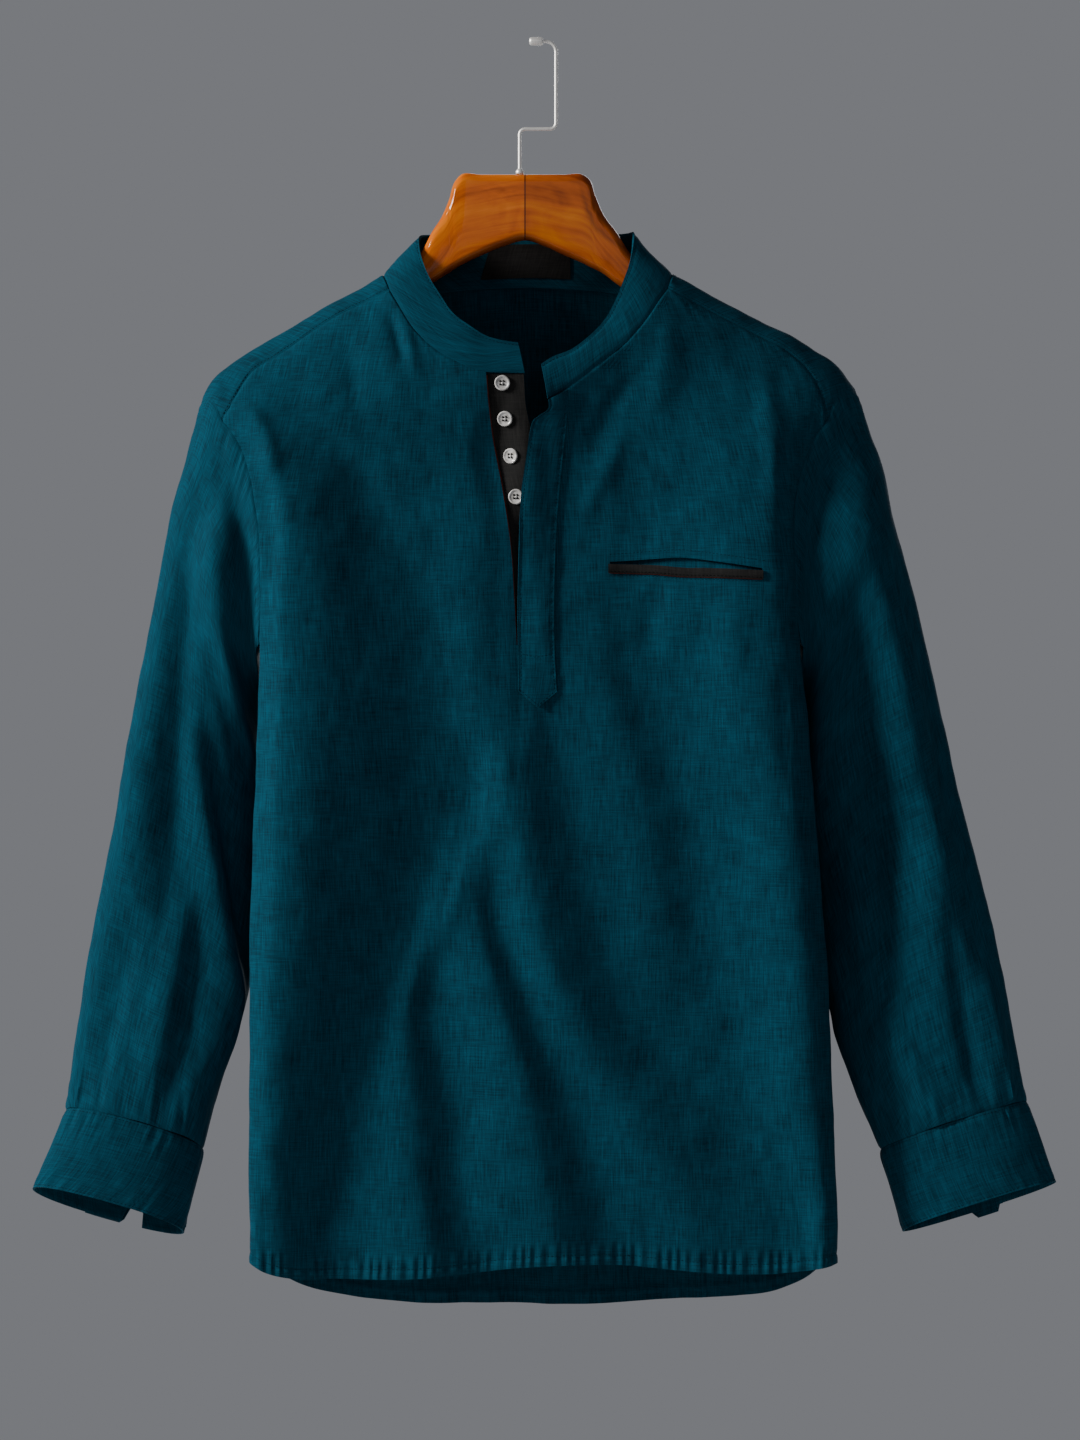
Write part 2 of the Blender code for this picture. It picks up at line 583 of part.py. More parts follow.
def back_grid():
    """The back as rows of (x, z) from the hem to the yoke seam."""
    count = LEFT_SEAM_COLUMNS + BACK_NECK_COLUMNS + RIGHT_SEAM_COLUMNS
    spread = (1 - np.cos(np.linspace(0, np.pi, count + 1))) / 2
    spread = 0.55 * spread + 0.45 * np.linspace(0, 1, count + 1)

    def row(z_left, z_of_x, blend):
        left, right = edges(z_left, 1)
        x = between(left, right, spread)
        return np.stack([x, between(z_left, z_of_x(x), blend)], axis=-1)

    hem = row(HEM_SIDE, lambda x: smooth(x, HEM_X, HEM_BACK_Z), 1.0)
    hem[[0, -1], 0] = edges(HEM_SIDE, 1)
    hem[[0, -1], 1] = HEM_SIDE
    seam = back_seam()
    rows = []
    for step in range(HEM_ROWS):
        t = step / HEM_ROWS
        level = row(between(HEM_SIDE, UNDERARM, t), lambda x: x * 0, 0.0)
        level[:, 1] += (hem[:, 1] - HEM_SIDE) * (1 - t) ** 1.5
        rows.append(level)
    for step in range(BACK_ARMHOLE_ROWS + 1):
        t = step / BACK_ARMHOLE_ROWS
        level = row(between(UNDERARM, seam[0, 1], t), lambda x: x * 0, 0.0)
        level[:, 1] += (seam[:, 1] - seam[0, 1]) * ease(t)
        level[:, 0] = between(level[:, 0], seam[:, 0], t**3) if step < BACK_ARMHOLE_ROWS else seam[:, 0]
        edge_left, edge_right = edges(level[0, 1], 1)
        level[0, 0] = edge_left
        level[-1, 0] = edge_right
        rows.append(level)
    return np.array(rows)


def root_of(x, z, sign):
    return sign * np.sqrt(np.maximum(ridge(x) - z, 0.0))


def yoke_grid():
    """The yoke as rows of (x, signed root drop), front chain to back seam."""
    left = along(LEFT_YOKE_SEAM, LEFT_SEAM_COLUMNS + 1)
    right = along(RIGHT_YOKE_SEAM, RIGHT_SEAM_COLUMNS + 1)[::-1]
    left = np.stack([left[:, 0], root_of(left[:, 0], left[:, 1], -1)], axis=-1)
    right = np.stack([right[:, 0], root_of(right[:, 0], right[:, 1], -1)], axis=-1)
    chain = np.concatenate([left, BACK_NECKLINE[1:-1], right])
    seam = back_seam()
    seam = np.stack([seam[:, 0], root_of(seam[:, 0], seam[:, 1], 1)], axis=-1)
    rows = [between(chain, seam, step / YOKE_ROWS) for step in range(YOKE_ROWS + 1)]
    grid = np.array(rows)
    column = np.linspace(0.0, 1.0, grid.shape[1])
    for end, crest in ((0, LEFT_SLEEVE[0, 0]), (-1, RIGHT_SLEEVE[0, 0])):
        roots = grid[:, end, 1]
        x_edge = smooth(roots, (roots[0], 0.0, roots[-1]), (grid[0, end, 0], crest, grid[-1, end, 0]))
        away = column if end == 0 else 1 - column
        grid[:, :, 0] += (x_edge - grid[:, end, 0])[:, None] * np.maximum(1 - away / 0.25, 0.0) ** 2
    return grid


front_flat = front_grid()
front = body_point(front_flat[..., 0], front_flat[..., 1], -1)
back_flat = back_grid()
back = body_point(back_flat[..., 0], back_flat[..., 1], 1)
yoke_flat = yoke_grid()
yoke_x = yoke_flat[..., 0]
yoke_root = yoke_flat[..., 1]
yoke_y = np.where(yoke_root < 0, body_y(yoke_x, yoke_root, -1), body_y(yoke_x, yoke_root, 1))
yoke = np.stack([yoke_x, yoke_y, ridge(yoke_x) - yoke_root**2], axis=-1)

front_out = outward(front)
back_out = -outward(back)
yoke_out = outward(yoke)

# ---------------------------------------------------------------- collar band

COLLAR_ROWS = 3
COLLAR_CLOTH = 1.8


def unit(vectors):
    return vectors / np.linalg.norm(vectors, axis=-1, keepdims=True)


def by_length(points, at):
    """Points at given shares of the length of a smooth curve through the given ones."""
    length = np.concatenate([[0.0], np.cumsum(np.linalg.norm(np.diff(points, axis=0), axis=1))])
    return np.stack([smooth(at * length[-1], length, column) for column in points.T], axis=-1)


# The band's lower edge, from the open right end round the back of the neck to the open left end
right_end = front_point(np.array([COLLAR_RIGHT_END[0]]), np.array([COLLAR_RIGHT_END[1]]), np.array([LAYER]))
left_end = front_point(np.array([-27.0, COLLAR_LEFT_END[0]]), np.full(2, COLLAR_LEFT_END[1]), np.zeros(2))
neck_columns = slice(LEFT_SEAM_COLUMNS, LEFT_SEAM_COLUMNS + BACK_NECK_COLUMNS + 1)
collar_low = np.concatenate([
    right_end,
    front[-1, SLOT_RIGHT_COLUMN:RIGHT_CORNER],
    yoke[0, neck_columns][::-1],
    front[-1, LEFT_CORNER + 1 : SLOT_LEFT_COLUMN + 1],
    left_end,
])
low_length = np.concatenate([[0.0], np.cumsum(np.linalg.norm(np.diff(collar_low, axis=0), axis=1))])
collar_high = by_length(COLLAR_TOP[::-1], low_length / low_length[-1])
collar = np.array([between(collar_low, collar_high, step / COLLAR_ROWS) for step in range(COLLAR_ROWS + 1)])
collar_out = outward(collar)

# ---------------------------------------------------------------- sleeves

SLEEVE_ROWS = 19
SLEEVE_OVAL = 2.2


def section(row, turn):
    """A sleeve section: an oval across the sleeve, its far side lower by the pitch."""
    outer_x, outer_z, inner_x, inner_z, half_y, mid_y, pitch = row
    middle = np.array([(outer_x + inner_x) / 2, mid_y, (outer_z + inner_z) / 2])
    wide = np.array([(outer_x - inner_x) / 2, 0.0, (outer_z - inner_z) / 2])
    deep = half_y * np.array([0.0, -math.cos(math.radians(pitch)), math.sin(math.radians(pitch))])
    c = np.sign(np.cos(turn)) * np.abs(np.cos(turn)) ** (2 / SLEEVE_OVAL)
    s = np.sign(np.sin(turn)) * np.abs(np.sin(turn)) ** (2 / SLEEVE_OVAL)
    return middle + c[:, None] * wide + s[:, None] * deep


def sleeve_grid(table, ring, fold_table):
    """The sleeve from its armhole ring down to the cuff seam, and each row's turns."""
    middles = (table[:, :2] + table[:, 2:4]) / 2
    station = np.concatenate([[0.0], np.cumsum(np.hypot(*np.diff(middles, axis=0).T))])
    station /= station[-1]
    first = table[0]
    middle = middles[0]
    half = (first[:2] - first[2:4]) / 2
    level = (ring[:, [0, 2]] - middle) @ half / (half @ half)
    forward = -(ring[:, 1] - first[5]) / first[4]
    ring_turn = np.unwrap(np.arctan2(forward, level))
    even_turn = np.linspace(ring_turn[0], ring_turn[0] + 2 * np.pi, len(ring), endpoint=False)
    offset = ring - section(first, ring_turn)
    rows = []
    turns = []
    for step in range(SLEEVE_ROWS + 1):
        v = (step / SLEEVE_ROWS) ** 1.15
        row = [smooth(np.array([v]), station, column)[0] for column in table.T]
        turn = between(ring_turn, even_turn, ease(v / 0.35))
        points = section(row, turn) + offset * (1 - ease(v / 0.16))
        push = np.zeros(len(turn))
        for turn_top, along_top, turn_low, along_low, width, height in fold_table:
            gone = (v - along_top) / (along_low - along_top)
            if gone <= 0 or gone >= 1:
                continue
            centre = math.radians(between(turn_top, turn_low, gone))
            away = np.degrees((turn - centre + np.pi) % (2 * np.pi) - np.pi)
            push += height * math.sin(math.pi * gone) * np.exp(-((away / width) ** 2))
        way = unit(points - points.mean(axis=0))
        rows.append(points + way * (push * ease(v / 0.08))[:, None])
        turns.append(turn)
    grid = np.array(rows)
    grid[0] = ring
    return grid, np.array(turns)


def turned_away(grid, out):
    """The same normals, all turned so that they point away from the middle of each row."""
    return out * np.sign(np.sum(out * (grid - grid.mean(axis=1, keepdims=True))))


# ---------------------------------------------------------------- seams

# Both pieces of a seam share the same points there, and the same way in through the cloth
for on_front, on_yoke in (
    (slice(0, LEFT_CORNER + 1), slice(0, LEFT_SEAM_COLUMNS + 1)),
    (slice(RIGHT_CORNER, LAST_COLUMN + 1), slice(-RIGHT_SEAM_COLUMNS - 1, None)),
):
    yoke[0, on_yoke] = front[-1, on_front]
    shared = unit(front_out[-1, on_front] + yoke_out[0, on_yoke])
    front_out[-1, on_front] = shared
    yoke_out[0, on_yoke] = shared
yoke[-1] = back[-1]
shared = unit(back_out[-1] + yoke_out[-1])
back_out[-1] = shared
yoke_out[-1] = shared
for end in (0, -1):
    shared = unit(front_out[: HEM_ROWS + 1, end] + back_out[: HEM_ROWS + 1, end])
    front_out[: HEM_ROWS + 1, end] = shared
    back_out[: HEM_ROWS + 1, end] = shared

right_neck = slice(1, 1 + NECK_COLUMNS)
round_neck = slice(1 + NECK_COLUMNS, 2 + NECK_COLUMNS + BACK_NECK_COLUMNS)
left_neck = slice(2 + NECK_COLUMNS + BACK_NECK_COLUMNS, 2 + 2 * NECK_COLUMNS + BACK_NECK_COLUMNS)
shared = unit(front_out[-1, SLOT_RIGHT_COLUMN:RIGHT_CORNER] + collar_out[0, right_neck])
front_out[-1, SLOT_RIGHT_COLUMN:RIGHT_CORNER] = shared
collar_out[0, right_neck] = shared
shared = unit(yoke_out[0, neck_columns][::-1] + collar_out[0, round_neck])
yoke_out[0, neck_columns] = shared[::-1]
collar_out[0, round_neck] = shared
front_out[-1, LEFT_CORNER] = shared[-1]
front_out[-1, RIGHT_CORNER] = shared[0]
shared = unit(front_out[-1, LEFT_CORNER + 1 : SLOT_LEFT_COLUMN + 1] + collar_out[0, left_neck])
front_out[-1, LEFT_CORNER + 1 : SLOT_LEFT_COLUMN + 1] = shared
collar_out[0, left_neck] = shared

# Armhole rings: down the front from the yoke, under the arm, up the back and over the yoke
sleeves = {}
for side, end, table, fold_table in (
    ("left", 0, LEFT_SLEEVE, LEFT_SLEEVE_FOLDS),
    ("right", -1, RIGHT_SLEEVE, RIGHT_SLEEVE_FOLDS),
):
    ring = np.concatenate([front[HEM_ROWS:, end][::-1], back[HEM_ROWS + 1 :, end], yoke[1:-1, end][::-1]])
    body_out = np.concatenate([
        front_out[HEM_ROWS:, end][::-1], back_out[HEM_ROWS + 1 :, end], yoke_out[1:-1, end][::-1],
    ])
    sleeve, turns = sleeve_grid(table, ring, fold_table)
    sleeve_out = turned_away(sleeve, outward(sleeve, around=True))
    shared = unit(body_out + sleeve_out[0])
    under = front.shape[0] - HEM_ROWS - 1
    top = under + back.shape[0] - HEM_ROWS
    front_out[HEM_ROWS:, end] = shared[: under + 1][::-1]
    back_out[HEM_ROWS:, end] = shared[under:top]
    yoke_out[1:-1, end] = shared[top:][::-1]
    yoke_out[0, end] = shared[0]
    yoke_out[-1, end] = shared[top - 1]
    sleeve_out[0] = shared
    ease_back(sleeve, row=0, gap=ARMHOLE_GAP)
    sleeves[side] = (sleeve, sleeve_out, turns)

for grid in (front, back, yoke):
    ease_back(grid, column=0)
    ease_back(grid, column=-1)
    ease_back(grid, row=-1)
ease_back(yoke, row=0, gap=SEAM_GAP)
ease_back(collar, row=0, gap=NECK_GAP)

keep = np.ones((front.shape[0] - 1, front.shape[1] - 1), bool)
keep[HEM_ROWS:, SLOT_LEFT_COLUMN:SLOT_RIGHT_COLUMN] = False
keep[HEM_ROWS + CHEST_ROWS, POCKET_FIRST_COLUMN:POCKET_LAST_COLUMN] = False
add_wall("front", front, front_out, TEAL, keep=keep)
add_wall("back", back[:, ::-1], back_out[:, ::-1], TEAL)
add_wall("yoke", yoke, yoke_out, TEAL)
add_wall("collar", collar, collar_out, TEAL, thick=COLLAR_CLOTH)

# ---------------------------------------------------------------- placket, buttons, pocket, label

# The placket strips from the top down. Columns: left x, left z, right x, right z, and the lift of the
# upper strip's loose left edge
OVER = np.array([
    (6.2, -280.6, 22.0, -272.6, 5.0),
    (-2.3, -292.8, 20.7, -292.0, 7.0),
    (-6.9, -299.5, 20.0, -300.5, 7.0),
    (-11.1, -329.7, 17.0, -330.0, 4.6),
    (-16.1, -373.5, 13.0, -373.0, 1.6),
    (-17.4, -432.0, 10.9, -432.0, 0.2),
    (-17.2, -471.0, 11.2, -471.0, 0.0),
    (-16.9, -505.7, 13.0, -506.5, 0.0),
])
OVER_TIP = 12.7
OVER_ROWS = 16
UNDER = np.array([
    (-45.6, -260.6, -12.6, -260.6),
    (-43.0, -284.7, -11.0, -284.7),
    (-40.9, -307.8, -6.0, -307.8),
    (-34.0, -345.6, 1.0, -345.6),
    (-26.3, -404.3, 9.5, -404.3),
    (-22.0, -478.0, 13.5, -478.0),
])
UNDER_ROWS = 10
UNDER_CLOTH = 1.3
STRIP_COLUMNS = 4
BUTTON_PLACES = ((-29.2, -267.9), (-27.3, -295.6), (-23.1, -324.1), (-18.6, -355.6))
CUFF_BUTTON_ACROSS = 10.5
BUTTON_SIDES = 20


def strip_grid(table, rows):
    """A strip's (x, z) rows, going up, from a table of its left and right edges, going down."""
    at = np.linspace(0.0, 1.0, rows + 1)[::-1]
    place = np.linspace(0.0, 1.0, len(table))
    edge = np.stack([smooth(at, place, column) for column in table.T], axis=-1)
    across = np.linspace(0.0, 1.0, STRIP_COLUMNS + 1)
    return edge[:, None, 0:2] * (1 - across)[None, :, None] + edge[:, None, 2:4] * across[None, :, None], edge


over, over_edge = strip_grid(OVER, OVER_ROWS)
across = np.linspace(0.0, 1.0, STRIP_COLUMNS + 1)
over[0, :, 1] -= OVER_TIP * (1 - np.abs(2 * across - 1))
lift = LAYER + over_edge[:, 4:5] * (1 - across[None]) ** 1.6
over_outer = front_point(over[..., 0], over[..., 1], lift)
over_inner = front_point(over[..., 0], over[..., 1], lift - CLOTH)
add("placket_over", *wall(over_outer, over_inner), TEAL)

under, _ = strip_grid(UNDER, UNDER_ROWS)
level = np.full(under.shape[:2], -LAYER)
under_outer = front_point(under[..., 0], under[..., 1], level)
under_inner = front_point(under[..., 0], under[..., 1], level - UNDER_CLOTH)
add("placket_under", *wall(under_outer, under_inner), BLACK)


def turned(profile, sides, centre, out):
    """A closed body turned round the way out: profile rows are (radius, height), its ends on the axis."""
    out = out / np.linalg.norm(out)
    side = unit(np.cross(out, (0.0, 1.0, 0.0) if abs(out[2]) > 0.9 else (0.0, 0.0, 1.0)))
    up = np.cross(out, side)
    turn = np.linspace(0, 2 * np.pi, sides, endpoint=False)
    circle = np.cos(turn)[:, None] * side + np.sin(turn)[:, None] * up
    rings = [centre + radius * circle + height * out for radius, height in profile[1:-1]]
    points = np.concatenate([[centre + profile[0][1] * out], *rings, [centre + profile[-1][1] * out]])
    faces = []
    for start in range(len(rings) - 1):
        for number in range(sides):
            a = 1 + start * sides + number
            b = 1 + start * sides + (number + 1) % sides
            faces.append((a, a + sides, b + sides, b))
    last = 1 + (len(rings) - 1) * sides
    for number in range(sides):
        after = (number + 1) % sides
        faces.append((0, 1 + number, 1 + after))
        faces.append((len(points) - 1, last + after, last + number))
    return points, faces


def add_closed(name, points, faces, finish):
    mesh = bpy.data.meshes.new(name)
    mesh.from_pydata((np.asarray(points) * MM).tolist(), [], [tuple(int(i) for i in face) for face in faces])
    volume = sum(
        mesh.vertices[face.vertices[0]].co.dot(
            mesh.vertices[face.vertices[i]].co.cross(mesh.vertices[face.vertices[i + 1]].co)
        )
        for face in mesh.polygons
        for i in range(1, len(face.vertices) - 1)
    )
    if volume < 0:
        mesh.flip_normals()
    mesh.shade_smooth()
    mesh.set_sharp_from_angle(angle=math.radians(40))
    mesh.materials.append(finish)
    made = bpy.data.objects.new(name, mesh)
    bpy.context.scene.collection.objects.link(made)


def button_profile(across, thick):
    """Half of a sewn-through button: flat back, rounded rim, dished face."""
    radius = across / 2
    return (
        (0.0, 0.0),
        (0.82 * radius, 0.0),
        (radius, 0.35 * thick),
        (radius, 0.7 * thick),
        (0.88 * radius, thick),
        (0.70 * radius, 0.72 * thick),
        (0.0, 0.66 * thick),
    )


for number, (x, z) in enumerate(BUTTON_PLACES, start=1):
    x = np.array([x])
    z = np.array([z])
    seat = front_point(x, z, np.array([SEAM_GAP - LAYER]))[0]
    way = seat - front_point(x, z, np.array([-10.0]))[0]
    profile = button_profile(BUTTON_ACROSS, BUTTON_THICK)
    add_closed("button_%d" % number, *turned(profile, BUTTON_SIDES, seat, way), SHELL)

# The welt covers the pocket's cut lower lip; the facing hangs behind the gape
pocket_x = front_flat[HEM_ROWS + CHEST_ROWS, POCKET_FIRST_COLUMN : POCKET_LAST_COLUMN + 1, 0].copy()
pocket_x[0] -= 1.0
pocket_x[-1] += 1.0
welt_top = smooth(pocket_x, POCKET_X, LOWER_LIP_Z) - 0.2
welt_x = np.array([pocket_x, pocket_x])
welt_z = np.array([welt_top - WELT_HIGH, welt_top])
flat = np.full(welt_x.shape, LAYER + 0.2)
add("pocket_welt", *wall(front_point(welt_x, welt_z, flat), front_point(welt_x, welt_z, flat - CLOTH)), BLACK)

FACING_UP = 11.0
FACING_DOWN = 14.0
FACING_SET_BACK = 3.2
facing_x = np.array([pocket_x] * 4)
facing_z = np.array([welt_top - FACING_DOWN, welt_top - 3.0, welt_top + 5.0, welt_top + FACING_UP])
set_back = np.array([[LAYER + 0.3], [FACING_SET_BACK], [FACING_SET_BACK], [LAYER + 0.3]]) + 0 * facing_x
facing_outer = front_point(facing_x, facing_z, -set_back)
facing_inner = front_point(facing_x, facing_z, -set_back - UNDER_CLOTH)
add("pocket_facing", *wall(facing_outer, facing_inner), TEAL)


def on_grid(grid, rows, columns):
    """Points at fractional rows and columns of a grid, flat between its points."""
    row = np.clip(np.floor(rows).astype(int), 0, grid.shape[0] - 2)
    column = np.clip(np.floor(columns).astype(int), 0, grid.shape[1] - 2)
    a = (rows - row)[..., None]
    b = (columns - column)[..., None]
    low = grid[row, column] * (1 - b) + grid[row, column + 1] * b
    high = grid[row + 1, column] * (1 - b) + grid[row + 1, column + 1] * b
    return low * (1 - a) + high * a


# The label lies on the inside of the band at the back of the neck
LABEL_LEFT = -43.0
LABEL_RIGHT = 24.0
LABEL_THICK = 1.0
middle_row = collar[1]
back_columns = np.arange(round_neck.start, round_neck.stop)
order = np.argsort(middle_row[back_columns, 0])
label_x = np.linspace(LABEL_LEFT, LABEL_RIGHT, 6)
places = np.interp(label_x, middle_row[back_columns, 0][order], back_columns[order].astype(float))
label_columns = np.array([places] * 3)
label_rows = np.array([[0.55], [1.5], [2.45]]) + 0 * label_columns
collar_inner = collar - collar_out * COLLAR_CLOTH
label_back = on_grid(collar_inner, label_rows, label_columns)
label_way = unit(on_grid(collar_out, label_rows, label_columns))
label_outer = label_back - label_way * 0.45
add_closed("neck_label", *wall(label_outer, label_outer - label_way * LABEL_THICK), BLACK)

# ---------------------------------------------------------------- cuffs and their finishing

CUFF_ROWS = 3
CUFF_POINTS = 26
CUFF_LAP = 34.0
CUFF_START = 252.0
STRIP_FROM = 0.80
STRIP_TURN = 262.0
STRIP_WIDE = 22.0


def cuff_grid(top_row, rim_row):
    """An open band whose end lies lapped over its start at the back of the wrist."""
    degrees = np.linspace(0.0, 360.0 + CUFF_LAP, CUFF_POINTS)
    turn = np.radians(CUFF_START + degrees)
    climb = ease((degrees - 250.0) / 90.0) * (LAYER + 0.9)
    rows = []
    for step in range(CUFF_ROWS + 1):
        row = between(np.array(top_row), np.array(rim_row), step / CUFF_ROWS)
        points = section(row, turn)
        rows.append(points + unit(points - points.mean(axis=0)) * climb[:, None])
    return np.array(rows)


for side, table, rim in (("left", LEFT_SLEEVE, LEFT_CUFF_RIM), ("right", RIGHT_SLEEVE, RIGHT_CUFF_RIM)):
    sleeve, sleeve_out, turns = sleeves[side]
    add_closed("sleeve_" + side, *wall(sleeve, sleeve - sleeve_out * CLOTH, around=True), TEAL)

    cuff_top = between(table[-1], np.array(rim), 0.013)
    cuff = cuff_grid(cuff_top, rim)
    cuff_out = turned_away(cuff, outward(cuff))
    add_closed("cuff_" + side, *wall(cuff, cuff - cuff_out * CLOTH), TEAL)

    # The narrow strip that finishes the slit above the cuff, at the back
    strip_rows = np.linspace(SLEEVE_ROWS * STRIP_FROM, SLEEVE_ROWS - 0.08, 5)
    turn_here = turns[-1]
    wrapped = np.concatenate([sleeve, sleeve[:, :1]], axis=1)
    wrapped_out = np.concatenate([sleeve_out, sleeve_out[:, :1]], axis=1)
    degrees = np.degrees(np.append(turn_here, turn_here[0] + 2 * np.pi))
    mid_column = np.interp(STRIP_TURN, degrees, np.arange(len(degrees)))
    column_wide = np.linalg.norm(sleeve[-1, int(mid_column) + 1] - sleeve[-1, int(mid_column)])
    half_columns = STRIP_WIDE / 2 / column_wide
    strip_columns = mid_column + np.array([[-1.0, 0.0, 1.0]]) * half_columns + 0 * strip_rows[:, None]
    strip_rows = strip_rows[:, None] + 0 * strip_columns
    strip_rows[0, 1] -= 0.25
    strip_way = unit(on_grid(wrapped_out, strip_rows, strip_columns))
    strip_inner = on_grid(wrapped, strip_rows, strip_columns) + strip_way * 0.6
    strip_outer = strip_inner + strip_way * UNDER_CLOTH
    add_closed("sleeve_placket_" + side, *wall(strip_outer, strip_inner), TEAL)

    # One button through the cuff's lap
    lap_column = (CUFF_POINTS - 1) * (360.0 + CUFF_LAP * 0.5) / (360.0 + CUFF_LAP)
    spot_row = np.array([CUFF_ROWS * 0.5])
    spot = on_grid(cuff, spot_row, np.array([lap_column]))[0]
    way = on_grid(cuff_out, spot_row, np.array([lap_column]))[0]
    profile = button_profile(CUFF_BUTTON_ACROSS, BUTTON_THICK)
    seat = spot + unit(way) * 0.5
    add_closed("cuff_button_" + side, *turned(profile, BUTTON_SIDES, seat, way), SHELL)

# ---------------------------------------------------------------- hanger

WOOD_STATIONS = 44
WOOD_SIDES = 14
WOOD_OVAL = 3.0
WIRE_X = -15.8
WIRE_TOP_X = 12.5
JOG_Z = -67.0
TOP_RUN_Z = 1.4


def wood_body():
    """The wooden bar: squared ovals across it, strung along its upper and lower edge."""
    length = np.concatenate([[0.0], np.cumsum(np.hypot(np.diff(WOOD[:, 0]), np.diff(WOOD[:, 1])))])
    at = np.linspace(0.0, length[-1], WOOD_STATIONS)
    x, top, low = (smooth(at, length, column) for column in WOOD.T)
    half_deep = WOOD_THICK / 2 * np.minimum(1.0, 0.62 + np.minimum(at, length[-1] - at) / 40.0)
    turn = np.linspace(0, 2 * np.pi, WOOD_SIDES, endpoint=False)
    c = np.sign(np.cos(turn)) * np.abs(np.cos(turn)) ** (2 / WOOD_OVAL)
    s = np.sign(np.sin(turn)) * np.abs(np.sin(turn)) ** (2 / WOOD_OVAL)
    points = np.zeros((WOOD_STATIONS, WOOD_SIDES, 3))
    points[..., 0] = x[:, None]
    points[..., 1] = half_deep[:, None] * c
    points[..., 2] = ((top + low) / 2)[:, None] + ((top - low) / 2)[:, None] * s
    index = np.arange(WOOD_STATIONS * WOOD_SIDES).reshape(WOOD_STATIONS, WOOD_SIDES)
    after = np.roll(index, -1, axis=1)
    faces = np.stack([index[:-1], after[:-1], after[1:], index[1:]], axis=-1).reshape(-1, 4).tolist()
    faces.append(index[0][::-1].tolist())
    faces.append(index[-1].tolist())
    return points.reshape(-1, 3), faces


def round_corner(before, corner, after, radius, steps):
    """Points round a bend between two straight runs in the XZ plane."""
    before, corner, after = (np.array(p, float) for p in (before, corner, after))
    a = (before - corner) / np.linalg.norm(before - corner)
    b = (after - corner) / np.linalg.norm(after - corner)
    half = math.acos(float(np.clip(a @ b, -1, 1))) / 2
    reach = radius / math.tan(half)
    centre = corner + (a + b) / np.linalg.norm(a + b) * radius / math.sin(half)
    start = corner + a * reach - centre
    end = corner + b * reach - centre
    sweep = math.pi - 2 * half
    for step in range(steps + 1):
        t = step / steps
        yield centre + (start * math.sin((1 - t) * sweep) + end * math.sin(t * sweep)) / math.sin(sweep)


def add_wire(name, places, across, finish):
    curve = bpy.data.curves.new(name, "CURVE")
    curve.dimensions = "3D"
    curve.bevel_depth = across / 2 * MM
    curve.bevel_resolution = 3
    curve.use_fill_caps = True
    spline = curve.splines.new("POLY")
    spline.points.add(len(places) - 1)
    for point, (x, z) in zip(spline.points, places):
        point.co = (x * MM, 0.0, z * MM, 1.0)
    curve.materials.append(finish)
    made = bpy.data.objects.new(name, curve)
    bpy.context.scene.collection.objects.link(made)


add_closed("hanger_wood", *wood_body(), WOOD_FINISH)

FERRULE_ACROSS = 6.4
FERRULE_HIGH = 4.2
WOOD_TOP = -102.6
ferrule = (
    (0.0, 0.0), (FERRULE_ACROSS / 2, 0.0), (FERRULE_ACROSS / 2, 2.6), (2.2, FERRULE_HIGH),
    (0.0, FERRULE_HIGH),
)
seat = np.array([WIRE_X, 0.0, WOOD_TOP + SEAM_GAP])
add_closed("hook_ferrule", *turned(ferrule, 16, seat, np.array([0.0, 0.0, 1.0])), STEEL)

foot = (WIRE_X, WOOD_TOP + FERRULE_HIGH + 2 * SEAM_GAP)
first_bend = (WIRE_X, JOG_Z)
second_bend = (WIRE_TOP_X, JOG_Z)
top_bend = (WIRE_TOP_X, TOP_RUN_Z)
cap_end = (2.6, TOP_RUN_Z)
wire = [foot]
wire += list(round_corner(foot, first_bend, second_bend, 4.5, 6))
wire += list(round_corner(first_bend, second_bend, top_bend, 4.5, 6))
wire += list(round_corner(second_bend, top_bend, cap_end, 8.5, 9))
wire.append(cap_end)
add_wire("hook_wire", wire, WIRE_ACROSS, STEEL)

CAP_LONG = 10.8
CAP_RADIUS = 3.3
cap = (
    (0.0, 0.0), (2.6, 0.0), (CAP_RADIUS, 0.8), (CAP_RADIUS, CAP_LONG - 1.8), (2.2, CAP_LONG - 0.3),
    (0.0, CAP_LONG),
)
seat = np.array([cap_end[0] - SEAM_GAP, 0.0, TOP_RUN_Z])
add_closed("hook_cap", *turned(cap, 16, seat, np.array([-1.0, 0.0, 0.0])), STEEL)
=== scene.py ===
# %% [markdown]
# # A short kurta on a wooden hanger
#
# The real object is a linen pullover shirt with a band collar, hung on a curved bar of varnished
# wood. Every visible cloth here is a surface worked out with numpy: its outline and its depth are
# functions of height and of the place across the body, and smaller functions add what makes cloth
# look like cloth: long drapes, short creases, seams that pull, and single stitches. The packed
# solids give the frame, and each piece stays on the solid that it stands for.

# %% Load the frame
import math

